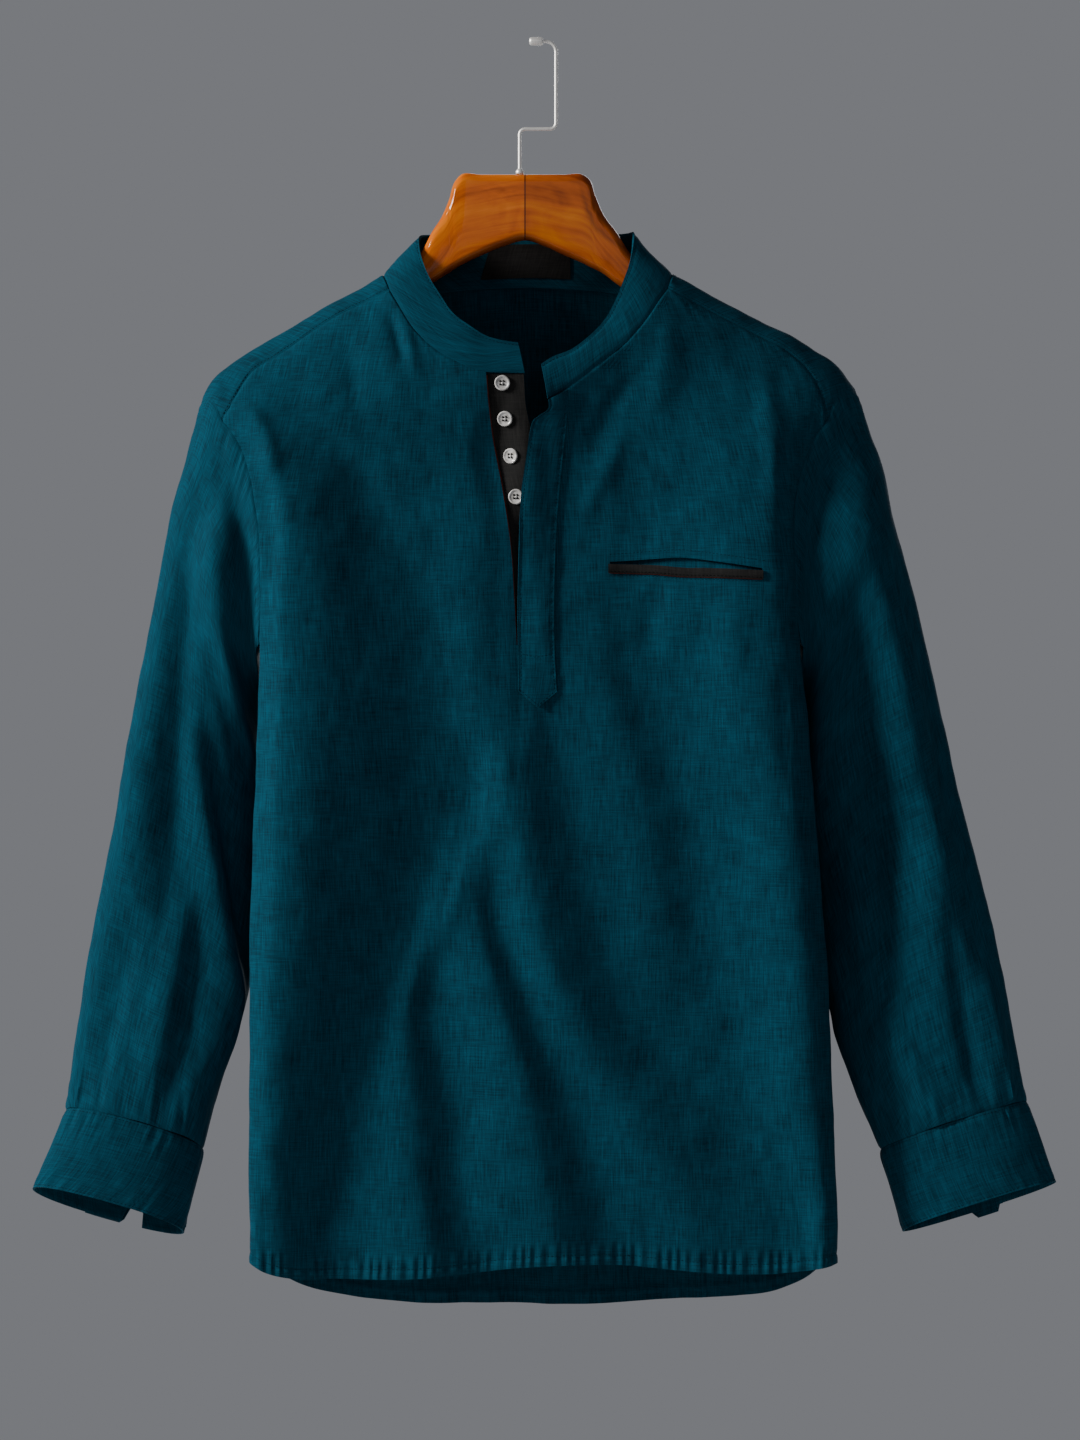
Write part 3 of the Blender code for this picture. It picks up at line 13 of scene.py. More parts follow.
import bmesh
import bpy
import numpy as np
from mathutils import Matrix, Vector


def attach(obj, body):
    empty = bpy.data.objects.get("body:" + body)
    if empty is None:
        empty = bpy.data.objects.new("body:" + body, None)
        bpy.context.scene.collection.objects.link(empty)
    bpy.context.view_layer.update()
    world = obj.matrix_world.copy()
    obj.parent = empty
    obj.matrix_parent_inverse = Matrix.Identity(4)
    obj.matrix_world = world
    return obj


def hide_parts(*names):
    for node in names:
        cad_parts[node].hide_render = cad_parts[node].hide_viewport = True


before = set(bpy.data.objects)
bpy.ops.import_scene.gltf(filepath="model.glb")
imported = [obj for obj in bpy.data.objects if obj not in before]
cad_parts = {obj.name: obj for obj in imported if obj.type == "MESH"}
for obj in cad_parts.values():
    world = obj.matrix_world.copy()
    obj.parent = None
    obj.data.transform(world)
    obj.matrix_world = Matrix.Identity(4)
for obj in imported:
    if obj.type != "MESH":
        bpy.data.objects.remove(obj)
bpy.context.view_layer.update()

# %% [markdown]
# ## Driving sizes
#
# A shirt is drawn in millimetres, so the tables below are too, and a mesh is scaled once, when it
# is made. X runs to the viewer's right, the front faces -Y, Z is up, and the origin is under the
# top of the hook, where a rail holds it.

# %% Driving sizes
MM = 0.001
CLOTH = 0.9
LAYER = 1.9
FRONT_DEPTH = 66.0
BACK_DEPTH = 62.0
ROUNDNESS = 5.5
# How square the front's oval is at a few heights, how much more on its right, and the back's
SQUARE_Z = (-900, -620, -420, -300)
SQUARE = (12, 7.5, 5.5, 4)
RIGHT_FULLER = 1.6
BACK_SQUARE = 2.4
EDGE_HOLD = 30
OPEN_REACH = 6
UNDERARM = -470.0
HEM_SIDE = -945.0
FRONT_HEM_DEEP = 7.8
BACK_HEM_DEEP = 9.5
HEM_WAVE = 27.0
HEM_TURNING = 0.8
HEM_STEP = 1.5

# %% [markdown]
# ## Outlines as short tables
#
# A pattern cutter marks a few points of an outline and joins them with a smooth line. The tables
# hold those points. A cubic curve that passes through each one, with the slope of its neighbours,
# joins them, so a table stays short and the line stays fair.

# %% A smooth line through a few marks
def table(*rows):
    return np.array(rows, float)


def steps(count):
    """Even shares from 0 to 1, both included."""
    return np.linspace(0.0, 1.0, count + 1)


def circle(count):
    """Even turns round a circle, from 0, in radians."""
    return np.linspace(0, 2 * np.pi, count, endpoint=False)


def smooth(at, knots, values):
    """Cubic through each knot, its slope there the mean of both sides, held level past the ends."""
    knots, values = np.asarray(knots, float), np.asarray(values, float)
    step = np.diff(knots)
    slope = np.diff(values) / step
    inner = (slope[:-1] * step[1:] + slope[1:] * step[:-1]) / (step[:-1] + step[1:])
    tangent = np.concatenate([slope[:1], inner, slope[-1:]])
    at = np.clip(at, knots[0], knots[-1])
    span = np.clip(np.searchsorted(knots, at, side="right") - 1, 0, len(step) - 1)
    t = (at - knots[span]) / step[span]
    start = (1 + 2 * t) * (1 - t) ** 2 * values[span] + t * (1 - t) ** 2 * step[span] * tangent[span]
    end = t * t * (3 - 2 * t) * values[span + 1] - t * t * (1 - t) * step[span] * tangent[span + 1]
    return start + end


def smooth_rows(at, knots, rows):
    return np.stack([smooth(at, knots, column) for column in rows.T], axis=-1)


def ease(t):
    """0 below 0, 1 above 1, and between them the curve t squared times (3 - 2 t)."""
    t = np.clip(t, 0.0, 1.0)
    return t * t * (3 - 2 * t)


def bell(at, middle, width):
    """1 at the middle, falling off as exp(-(distance / width) squared)."""
    return np.exp(-(((at - middle) / width) ** 2))


def between(low, high, shares):
    return low + (high - low) * shares


def lengths(points):
    """Distance along a row of points, from its first."""
    return np.concatenate([[0.0], np.cumsum(np.linalg.norm(np.diff(points, axis=0), axis=1))])


def along(points, shares):
    """Points at given shares of the length of a smooth line through the given ones."""
    length = lengths(points)
    return smooth_rows(shares * length[-1], length, points)


def unit(vectors):
    return vectors / np.maximum(np.linalg.norm(vectors, axis=-1, keepdims=True), 1e-9)


# %% Outline tables
# The shoulder line, from which front and back fall away. Columns: x, z
RIDGE_X, RIDGE_Z = table(
    (-300, -372), (-275, -306), (-265.5, -283), (-256, -264), (-243, -252.7), (-205, -228.5), (-160, -202),
    (-126.8, -184), (-90, -164), (-50, -146), (-10, -139), (30, -144), (70, -161), (102.6, -179.4),
    (135.7, -198), (173, -217.6), (211.4, -237.9), (235.6, -256.6), (248, -275.3), (262, -303), (285, -362),
).T
# Body and armhole edges. Columns: z, front left, front right, back left, back right, hug, side y
SIDES_Z, FRONT_LEFT, FRONT_RIGHT, BACK_LEFT, BACK_RIGHT, HUG, SIDE_SEAM_Y = table(
    (-1000, -225, 230, -225, 230, 1, 0), (-945, -225, 230, -225, 230, 1, 0),
    (-830, -225, 226.5, -225, 226.5, 1, -2), (-735, -224.6, 222.5, -224.6, 222.5, 1, -8),
    (-668, -223.9, 218.6, -223.9, 218.6, 1, -12), (-590, -221.5, 212.3, -221.5, 212.3, 1, -14),
    (-512, -218, 205.5, -218, 205.5, 1, -14), (-470, -217, 201, -217, 201, 1, -14),
    (-440, -216.2, 198, -222, 205, 0.8, -12), (-404, -216.5, 196.2, -229, 211, 0.64, -10),
    (-366, -219.6, 195.8, -236, 217.5, 0.55, -7), (-334, -225.8, 202, -243.5, 225, 0.5, -3),
    (-312, -234.5, 210.5, -249, 233, 0.47, -1), (-296, -247, 222.5, -256, 240, 0.45, 0),
    (-283, -265.5, 240, -265.5, 246, 0.43, 0), (-275.3, -266, 248, -266, 248, 0.42, 0),
    (-180, -266, 248, -266, 248, 0.35, 0),
).T
# The slot that the placket opens. Columns: z, left, right
SLOT_Z, SLOT_LEFT, SLOT_RIGHT = table(
    (-1000, -17, 12), (-520, -17.5, 10), (-471, -18, 7.8), (-432, -20, 6.9), (-393, -22.8, 8.5),
    (-353, -28.6, 11.5), (-308, -36.9, 16.5), (-284.7, -39.6, 17.6), (-240, -43, 17.7),
).T
# Hem heights. Columns: x, front z, back z
HEM_X, HEM_FRONT_Z, HEM_BACK_Z = table(
    (-225, -945.3, -945.3), (-214, -952, -956), (-194, -957.5, -969.5), (-152, -959, -983),
    (-105, -958.5, -987.5), (-58, -955, -989.3), (-12, -949.5, -990), (62, -948, -988.6), (110, -952, -986),
    (157, -954.5, -981.5), (190, -953, -975.5), (213, -949.5, -963), (230, -945.3, -945.3),
).T
LEFT_YOKE_SEAM = table(
    (-247, -296), (-234.4, -272.7), (-225, -258.8), (-204.1, -244.9), (-159.1, -214.6), (-117.2, -194.3),
)
RIGHT_YOKE_SEAM = table(
    (222.5, -296), (217.3, -273.5), (206.4, -254.5), (191.7, -241.5), (172.3, -230.5), (138.9, -213),
    (99.3, -192.7),
)
LEFT_NECKLINE = table(
    (-117.2, -194.3), (-112.5, -202), (-96.8, -226), (-77.2, -244), (-67.1, -249.7), (-53.9, -256),
    (-41.6, -259.4),
)
RIGHT_NECKLINE = table(
    (99.3, -192.7), (93.1, -201.5), (84.4, -215.1), (67.2, -235.2), (54.7, -245.8), (41.6, -256.2),
    (17.7, -274),
)
# Back neckline. Columns: x, signed root of the drop below the shoulder line
BACK_NECKLINE = table(
    (-117.2, -3.9), (-120.9, -2), (-122.2, 0), (-120, 2), (-113, 3.6), (-90, 5.3), (-50, 6.6), (-8, 7),
    (38, 6.6), (75, 5.3), (95, 3.5), (101.4, 1.9), (103.2, 0), (102.3, -2), (99.3, -3.9),
)
BACK_YOKE_SEAM = table(
    (-249, -312), (-130, -297), (-8, -290), (110, -296), (233, -312),
)
# The pocket's mouth. Columns: x, lower lip z, upper lip z
POCKET_X, LOWER_LIP_Z, UPPER_LIP_Z = table(
    (53.8, -407.4, -405.9), (72, -407.9, -404.8), (90, -408.6, -403.6), (110, -410.5, -402.9),
    (128, -411, -405), (149, -411.8, -408), (170.5, -412.8, -411.3),
).T
POCKET_LEFT, POCKET_RIGHT = POCKET_X[0], POCKET_X[-1]
print("hem to shoulder point:", round(RIDGE_Z.max() - HEM_BACK_Z.min()), "mm")

# %% [markdown]
# ## Drapes
#
# Linen hangs in a few long waves that start where the cloth is held, at the shoulders, and open
# towards the hem. Light from one side turns each slope into a bright or a dark band, so a wave is
# best drawn by its crests and troughs. Each line below wanders through a few heights, and between
# two neighbouring lines the cloth eases from one height to the next. Smaller folds are single
# ridges, added on top.

# %% Crests and troughs of the front
DRAPE_Z = table(-228, -282, -321, -382, -436, -513, -589, -666, -743, -820, -897, -950)
# Each line: its place across the body at those heights, and how far it stands out or lies back
FRONT_DRAPES = {
    "side_crest": (
        (-250, -238, -212, -199, -199, -198, -201, -203, -206, -211, -212, -208),
        (0, 3, 8, 9.5, 9, 9, 8, 7.5, 5.5, 4, -1.5, -4),
    ),
    "broad_trough": (
        (-200, -178, -143, -108, -88, -72, -70, -93, -117, -138, -156, -160),
        (0, -1.5, -8, -12.5, -14.5, -16, -19.5, -20, -19, -18.5, -19.5, -20),
    ),
    "low_crest": (
        (-170, -140, -112, -86, -72, -60, -58, -76, -102, -102, -96, -88),
        (0, -4.5, -11, -12, -13, -14.5, -19, -15.5, -15.5, -12, -8.5, -7.5),
    ),
    "low_trough": (
        (-140, -100, -85, -66, -58, -50, -48, -64, -85, -68, -62, -46),
        (0, -4, -11.5, -10.5, -11.5, -12.5, -17, -11.5, -20.5, -20, -17.5, -18),
    ),
    "middle_crest": (
        (-90, -50, -58, -46, -46, -40, -38, -50, -34, -10, 1, 10),
        (0, -4.5, -12.5, -10, -11.5, -12, -11, -12.5, -5.5, -6, -6.5, -8),
    ),
    "thin_trough": (
        (-40, -34, -34, -26, -28, -26, -28, -36, -12, 19, 47, 73),
        (0, -6, -16, -12.5, -13.5, -13, -7, -16, -12.5, -13.5, -16.5, -16),
    ),
    "long_crest": (
        (0, -10, -10, -10, -12, -12, -18, -3, 17, 63, 108, 130),
        (0, -4.5, -8.5, -15.5, -15.5, -15, -7, -6, -5, -6, -7, -9.5),
    ),
    "long_trough": (
        (40, 8, 8, 8, 6, 5, 27, 38, 70, 126, 178, 186),
        (0, -6.5, -11, -17.5, -15, -16, -15.5, -15, -15, -12.5, -9, -7),
    ),
    "thin_crest": (
        (80, 44, 42, 42, 42, 52, 72, 92, 110, 142, 186, 192),
        (0, -10, -12.5, -17.5, -14.5, -11.5, -9.5, -10.5, -13.5, -12, -7.5, -6),
    ),
    "short_trough": (
        (110, 70, 62, 58, 60, 83, 108, 120, 133, 152, 192, 200),
        (0, -9, -11, -16, -15, -15, -13.5, -13.5, -13.5, -11, -5.5, -4),
    ),
    "right_crest": (
        (184, 188, 191, 193, 193, 193, 195, 204, 212, 214, 220, 223),
        (0, 1, 7, 9, 9.5, 10, 9, 11, 10.5, 8, 5.5, 8),
    ),
}
# Single folds. Columns: x, z at the top, middle and low end, width, height, and 1 where it runs
# out through the hem
FRONT_FOLDS = table(
    (-119, -204, -113, -224, -104, -258, 4.5, -2.2, 0), (-108, -214, -101, -236, -96, -268, 4.5, 1.6, 0),
    (-150, -222, -146, -246, -140, -290, 8, -1.6, 0), (-232, -276, -215, -300, -205, -350, 7, 3, 0),
    (-214, -320, -206, -372, -204, -440, 6, -3, 0), (62, -310, 48, -340, 32, -384, 8, 2, 0),
    (78, -250, 54, -290, 34, -330, 9, -2.4, 0), (104, -208, 98, -250, 86, -310, 11, 2.2, 0),
    (172, -236, 178, -300, 186, -392, 9, 3, 0), (190, -300, 188, -360, 190, -430, 7, -2.5, 0),
    (96, -412, 88, -440, 84, -490, 10, -2, 0), (150, -418, 146, -450, 150, -520, 12, 2, 0),
    (196, -470, 188, -520, 196, -600, 9, -2.5, 0),
)
BACK_FOLDS = table(
    (-120, -330, -135, -600, -150, -985, 30, 9, 1), (-70, -380, -80, -640, -92, -985, 26, -8, 1),
    (-20, -330, -14, -620, -24, -985, 28, 8, 1), (46, -400, 44, -680, 36, -985, 24, -7, 1),
    (104, -340, 96, -640, 102, -985, 30, 9, 1), (160, -420, 158, -700, 164, -985, 22, -6, 1),
    (-176, -470, -170, -640, -180, -900, 12, 4, 0), (-40, -560, -52, -760, -60, -985, 10, 3.5, 1),
    (12, -640, 20, -800, 8, -985, 9, -3.5, 1), (128, -560, 132, -760, 126, -985, 9, -3, 1),
    (-200, -330, -190, -380, -196, -450, 9, -3, 0), (190, -330, 182, -380, 186, -450, 9, -3, 0),
)
FOLD_FADE = 0.35


def ridge(x):
    return smooth(x, RIDGE_X, RIDGE_Z)


def edges(z, face):
    """Left and right edge of the front (face -1) or the back (face 1) at height z."""
    left, right = (FRONT_LEFT, FRONT_RIGHT) if face < 0 else (BACK_LEFT, BACK_RIGHT)
    return smooth(z, SIDES_Z, left), smooth(z, SIDES_Z, right)


def drape(x, z):
    """Height of the cloth between crest and trough lines: eased from each line to the next."""
    left, right = edges(z, -1)
    falling = DRAPE_Z[::-1]
    lines = [tuple(smooth(z, falling, row[::-1]) for row in line) for line in FRONT_DRAPES.values()]
    lines = [(left, 0.0 * x), *lines, (right, 0.0 * x)]
    height = np.zeros(np.broadcast(x, z).shape)
    for (start, low), (end, high) in zip(lines[:-1], lines[1:]):
        share = (x - start) / np.maximum(end - start, 1.0)
        height = np.where(share > 0, between(low, high, ease(share)), height)
    return height


def folds(x, z, fold_table):
    """Sum of single folds: a bell across each one, swelling from nothing along it."""
    push = np.zeros(np.broadcast(x, z).shape)
    for x_top, z_top, x_mid, z_mid, x_low, z_low, width, height, through_hem in fold_table:
        middle = smooth(-z, (-z_top, -z_mid, -z_low), (x_top, x_mid, x_low))
        gone = (z_top - z) / (z_top - z_low)
        swell = ease(gone / FOLD_FADE) * (1.0 if through_hem else ease((1 - gone) / FOLD_FADE))
        push = push + height * swell * bell(x, middle, width)
    return push


def body_y(x, root, face):
    """Depth of the cloth, where root is the signed root of the drop below the shoulder line.

    From the shoulder line it rounds out as depth times tanh(root), like a sheet over a bar. Across
    the body it is a squared oval, closed at the side seams and held open at the armholes.
    """
    z = ridge(x) - root * root
    left, right = edges(z, face)
    across = np.clip((2 * x - left - right) / (right - left), -1.0, 1.0)
    if face < 0:
        full = FRONT_DEPTH
        square = smooth(z, SQUARE_Z, SQUARE) * np.where(x > 0, RIGHT_FULLER, 1.0)
        push = drape(x, z) + folds(x, z, FRONT_FOLDS)
    else:
        full, square, push = BACK_DEPTH, BACK_SQUARE, folds(x, z, BACK_FOLDS)
    crown = full * np.tanh(ROUNDNESS * np.abs(root) / full)
    opened = (1 - np.minimum(smooth(z, SIDES_Z, HUG), 1.0)) * np.abs(across) ** OPEN_REACH
    bulge = np.maximum(1 - np.abs(across) ** square + opened, 0.0) ** (1 / square)
    side = smooth(z, SIDES_Z, SIDE_SEAM_Y)
    return face * (crown * bulge + push * (1 - across**EDGE_HOLD)) + side * (1 - bulge)


def body_point(x, z, face):
    root = np.sqrt(np.maximum(ridge(x) - z, 0.0))
    return np.stack([x, body_y(x, root, face), z + 0 * x], axis=-1)


def front_point(x, z, lift):
    """A point held off the front cloth by lift, square to it. The slopes are taken 3 mm each way."""
    reach = 3.0
    slope_x = (body_point(x + reach, z, -1) - body_point(x - reach, z, -1))[..., 1] / (2 * reach)
    slope_z = (body_point(x, z + reach, -1) - body_point(x, z - reach, -1))[..., 1] / (2 * reach)
    out = unit(np.stack([slope_x, -np.ones_like(slope_x), slope_z], axis=-1))
    return body_point(x, z, -1) + out * np.asarray(lift)[..., None]


print("drape lines:", ", ".join(FRONT_DRAPES), "and", len(FRONT_FOLDS), "single folds")

# %% [markdown]
# ## Small unevenness
#
# No cloth is as smooth as a formula. Two functions give it life: a ripple, the short uneven waves
# where a line of stitches has pulled the cloth together, and further down a rumple, the sum of a
# few long sine waves in all directions.

# %% Ripple
# Slow waves that shift a ripple's spacing, twice, and its height. Columns: share, length in periods
SLOW_WAVES = ((0.33, 4.4), (0.21, 1.9), (0.35, 6.7))
FULL_TURN = 6.28


def ripple(run, period, seed=0.0):
    """Short waves along a seam, their spacing drifting by a third."""
    first, second, height = (
        share * np.sin(run / (long * period) * FULL_TURN + number * seed)
        for number, (share, long) in enumerate(SLOW_WAVES, start=1)
    )
    return (0.65 + height) * np.sin(2 * math.pi * (run / period + (first + second)))


print("a ripple swings between", ripple(np.linspace(0, 300, 900), 9.0).min().round(2), "and 1")

# %% [markdown]
# ## Grids
#
# Each cut piece is one grid of points. Rows go up the cloth and columns go to the right. A piece
# with odd edges, such as the front with its neckline, is lofted: a few guide rows follow the hem,
# the armhole level, the pocket's lips and the top edge, and the rows between them are blended.

# %% How fine each grid is
HEM_ROWS = 110
CHEST_ROWS = 16
MOUTH_ROWS = 3
TOP_ROWS = 64
BACK_ARMHOLE_ROWS = 50
YOKE_ROWS = 40
SEAM_COLUMNS = 40
NECK_COLUMNS = 26
SLOT_STEPS = 10
BACK_NECK_COLUMNS = 56
BACK_COLUMNS = 2 * SEAM_COLUMNS + BACK_NECK_COLUMNS
FAN_LEFT = 162.0
FAN_RIGHT = 146.0
LEFT_CORNER = SEAM_COLUMNS
SLOT_LEFT_COLUMN = LEFT_CORNER + NECK_COLUMNS
SLOT_RIGHT_COLUMN = SLOT_LEFT_COLUMN + SLOT_STEPS
RIGHT_CORNER = SLOT_RIGHT_COLUMN + NECK_COLUMNS
LAST_COLUMN = RIGHT_CORNER + SEAM_COLUMNS
POCKET_FIRST = SLOT_RIGHT_COLUMN + 12
POCKET_LAST = POCKET_FIRST + 40
RAILS = (0, SLOT_LEFT_COLUMN, SLOT_RIGHT_COLUMN, LAST_COLUMN)
BUNCHED = 1.35
BEYOND_LOWER_LIP = -1.0
BEYOND_UPPER_LIP = 3.0


def closer(count, low, high=1.0):
    """Steps from 0 to 1 that shrink towards the low end, the high end or both."""
    return 1 - (1 - steps(count) ** low) ** high


def rail_x(z):
    """Where the lines that bound the front's three strips stand: side, slot, slot, side."""
    left, right = edges(z, -1)
    return np.stack([left, smooth(z, SLOT_Z, SLOT_LEFT), smooth(z, SLOT_Z, SLOT_RIGHT), right])


def level_guide(z):
    """One level row of the front, its columns bunched towards the sides."""
    rails = rail_x(z)
    left = between(rails[0], rails[1], closer(SLOT_LEFT_COLUMN, BUNCHED))
    middle = between(rails[1], rails[2], steps(SLOT_STEPS))
    right = between(rails[3], rails[2], closer(LAST_COLUMN - SLOT_RIGHT_COLUMN, BUNCHED))[::-1]
    x = np.concatenate([left, middle[1:], right[1:]])
    return np.stack([x, np.full_like(x, z)], axis=-1)


def pocket_guide(lip, beyond):
    """The row along one of the pocket's lips, easing off by the given height beyond its ends."""
    x = level_guide(lip[0])[:, 0]
    rails = rail_x(lip[0])
    lead = between(rails[2], POCKET_LEFT, steps(POCKET_FIRST - SLOT_RIGHT_COLUMN))
    mouth = np.linspace(POCKET_LEFT, POCKET_RIGHT, POCKET_LAST - POCKET_FIRST + 1)
    rest = between(POCKET_RIGHT, rails[3], steps(LAST_COLUMN - POCKET_LAST) ** 0.8)
    x[SLOT_RIGHT_COLUMN:] = np.concatenate([lead[:-1], mouth, rest[1:]])
    apart = np.maximum(POCKET_LEFT - x, 0) + np.maximum(x - POCKET_RIGHT, 0)
    return np.stack([x, smooth(x, POCKET_X, lip) + beyond * np.tanh(apart / 30)], axis=-1)


def top_guide():
    """The front's upper edge: left yoke seam, neckline, slot, neckline, right yoke seam."""
    left_seam, right_seam = (along(s, steps(SEAM_COLUMNS)) for s in (LEFT_YOKE_SEAM, RIGHT_YOKE_SEAM))
    left_neck, right_neck = (along(s, steps(NECK_COLUMNS)) for s in (LEFT_NECKLINE, RIGHT_NECKLINE))
    slot = between(left_neck[-1], right_neck[-1], steps(SLOT_STEPS)[:, None])
    return np.concatenate([left_seam, left_neck[1:], slot[1:-1], right_neck[::-1], right_seam[-2::-1]])


def hem_guide():
    guide = level_guide(HEM_SIDE)
    guide[:, 1] = smooth(guide[:, 0], HEM_X, HEM_FRONT_Z)
    return guide


def shares_of(guide):
    """Each column's share of the way between the rails either side of it."""
    shares = np.zeros(len(guide))
    for first, last in zip(RAILS[:-1], RAILS[1:]):
        x = guide[first : last + 1, 0]
        shares[first:last] = ((x - x[0]) / (x[-1] - x[0]))[:-1]
    return shares


def front_grid():
    """The whole front as rows of (x, z), lofted between its guide rows and kept to its rails."""
    guides = [
        hem_guide(), level_guide(UNDERARM), pocket_guide(LOWER_LIP_Z, BEYOND_LOWER_LIP),
        pocket_guide(UPPER_LIP_Z, BEYOND_UPPER_LIP), top_guide(),
    ]
    places = (closer(HEM_ROWS, BUNCHED), steps(CHEST_ROWS), steps(MOUTH_ROWS), closer(TOP_ROWS, 1.0, 1.5))
    rows = []
    for low, high, shares_up in zip(guides[:-1], guides[1:], places):
        for t in shares_up[:-1]:
            x, z = between(low, high, t).T
            shares = between(shares_of(low), shares_of(high), t)
            for number, (first, last) in enumerate(zip(RAILS[:-1], RAILS[1:])):
                start, end = rail_x(z[first])[number], rail_x(z[last])[number + 1]
                x[first:last] = between(start, end, shares[first:last])
            x[LAST_COLUMN] = rail_x(z[LAST_COLUMN])[3]
            rows.append(np.stack([x, z], axis=-1))
    return np.array(rows + [guides[-1]])


# %% The back and the yoke
ROOT_STRETCH = 5.0


def back_seam():
    """The seam between yoke and back, its columns fanned out below the neck's corners."""
    corners = (0, SEAM_COLUMNS, SEAM_COLUMNS + BACK_NECK_COLUMNS, BACK_COLUMNS)
    places = (BACK_YOKE_SEAM[0, 0], -FAN_LEFT, FAN_RIGHT, BACK_YOKE_SEAM[-1, 0])
    x = np.interp(np.arange(BACK_COLUMNS + 1), corners, places)
    return np.stack([x, smooth(x, *BACK_YOKE_SEAM.T)], axis=-1)


def level_row(z):
    """One level row of the back, its columns a little closer at the sides."""
    even = steps(BACK_COLUMNS)
    x = between(*edges(z, 1), 0.55 * (1 - np.cos(np.pi * even)) / 2 + 0.45 * even)
    return np.stack([x, np.full_like(x, z)], axis=-1)


def back_grid():
    """The back as rows of (x, z) from the hem to the yoke seam."""
    hem_drop = smooth(level_row(HEM_SIDE)[:, 0], HEM_X, HEM_BACK_Z) - HEM_SIDE
    seam = back_seam()
    rows = []
    for t in closer(HEM_ROWS, BUNCHED)[:-1]:
        row = level_row(between(HEM_SIDE, UNDERARM, t))
        row[1:-1, 1] += hem_drop[1:-1] * (1 - t) ** 1.5
        rows.append(row)
    for t in closer(BACK_ARMHOLE_ROWS, 1.0, 1.5):
        row = level_row(between(UNDERARM, seam[0, 1], t))
        row[:, 1] += (seam[:, 1] - seam[0, 1]) * ease(t)
        row[:, 0] = between(row[:, 0], seam[:, 0], t**3)
        row[[0, -1], 0] = edges(row[0, 1], 1)
        rows.append(row)
    return np.array(rows)


def root_of(points, sign):
    drop = np.maximum(ridge(points[:, 0]) - points[:, 1], 0.0)
    return np.stack([points[:, 0], sign * np.sqrt(drop)], axis=-1)


def yoke_grid():
    """The yoke as rows of (x, signed root drop), from the front seams and neck to the back seam."""
    seams = (LEFT_YOKE_SEAM, RIGHT_YOKE_SEAM)
    left, right = (root_of(along(seam, steps(SEAM_COLUMNS)), -1) for seam in seams)
    neck = along(BACK_NECKLINE * (1.0, ROOT_STRETCH), steps(BACK_NECK_COLUMNS)) / (1.0, ROOT_STRETCH)
    chain = np.concatenate([left, neck[1:-1], right[::-1]])
    seam = root_of(back_seam(), 1)
    grid = np.array([between(chain, seam, t) for t in closer(YOKE_ROWS, 1.2, 1.3)])
    column = steps(BACK_COLUMNS)
    for end, crest, away in ((0, FRONT_LEFT[-2] + 0.5, column), (-1, FRONT_RIGHT[-2], 1 - column)):
        roots = grid[:, end, 1]
        x_edge = smooth(roots, (roots[0], 0.0, roots[-1]), (grid[0, end, 0], crest, grid[-1, end, 0]))
        grid[:, :, 0] += (x_edge - grid[:, end, 0])[:, None] * np.maximum(1 - away / 0.25, 0.0) ** 2
    return grid


front_flat = front_grid()
front_net = body_point(front_flat[..., 0], front_flat[..., 1], -1)
back_flat = back_grid()
back_net = body_point(back_flat[..., 0], back_flat[..., 1], 1)
yoke_x, yoke_root = np.moveaxis(yoke_grid(), -1, 0)
yoke_y = np.where(yoke_root < 0, body_y(yoke_x, yoke_root, -1), body_y(yoke_x, yoke_root, 1))
yoke_net = np.stack([yoke_x, yoke_y, ridge(yoke_x) - yoke_root**2], axis=-1)
print("grids: front", front_net.shape[:2], "back", back_net.shape[:2], "yoke", yoke_net.shape[:2])

# %% [markdown]
# ## The band collar
#
# The collar is a straight strip in the flat. It is sewn along the neckline and stands up from it,
# so its lower edge is the neckline itself and its upper edge is a shorter loop. Here its free edge
# is a table, and the rows between are blended, with a little bow so that the band looks padded.

# %% Collar grid
# The collar's free edge, from the open left end round the back of the neck. Columns: x, y, z
COLLAR_TOP = table(
    (-17, -39, -236.4), (-28.6, -40, -234.8), (-41.8, -40, -231), (-54.2, -39, -223.3),
    (-67.4, -35.5, -213.1), (-77.5, -29, -198.2), (-86, -22, -184), (-94, -8, -160.5), (-94.5, 4, -150.5),
    (-89, 16.5, -148), (-70, 27, -147.5), (-40, 32, -147), (-8, 34, -146.5), (25, 32, -146.5),
    (50, 26, -147), (68, 15.5, -147), (73.5, 4, -147), (73, -7, -154.5), (71, -15, -168),
    (64, -24.5, -188.8), (59, -29, -201.6), (51, -34, -216.8), (35.6, -38, -233.3), (22.4, -39.5, -242.5),
    (10, -40.5, -247.2), (1, -42, -252.9),
)
COLLAR_LEFT_END = (-11.9, -259.9)
COLLAR_RIGHT_END = (5.8, -279.4)
COLLAR_ROWS = 22
COLLAR_BOW = 1.2
COLLAR_EDGE = 2.2
END_STEPS = 6


def outward(grid, around=False):
    """The unit normal at each point of a grid whose rows go up and whose columns go to the right."""
    if around:
        wide = np.concatenate([grid[:, -1:], grid, grid[:, :1]], axis=1)
        across = wide[:, 2:] - wide[:, :-2]
    else:
        across = np.gradient(grid, axis=1)
    return unit(np.cross(across, np.gradient(grid, axis=0)))


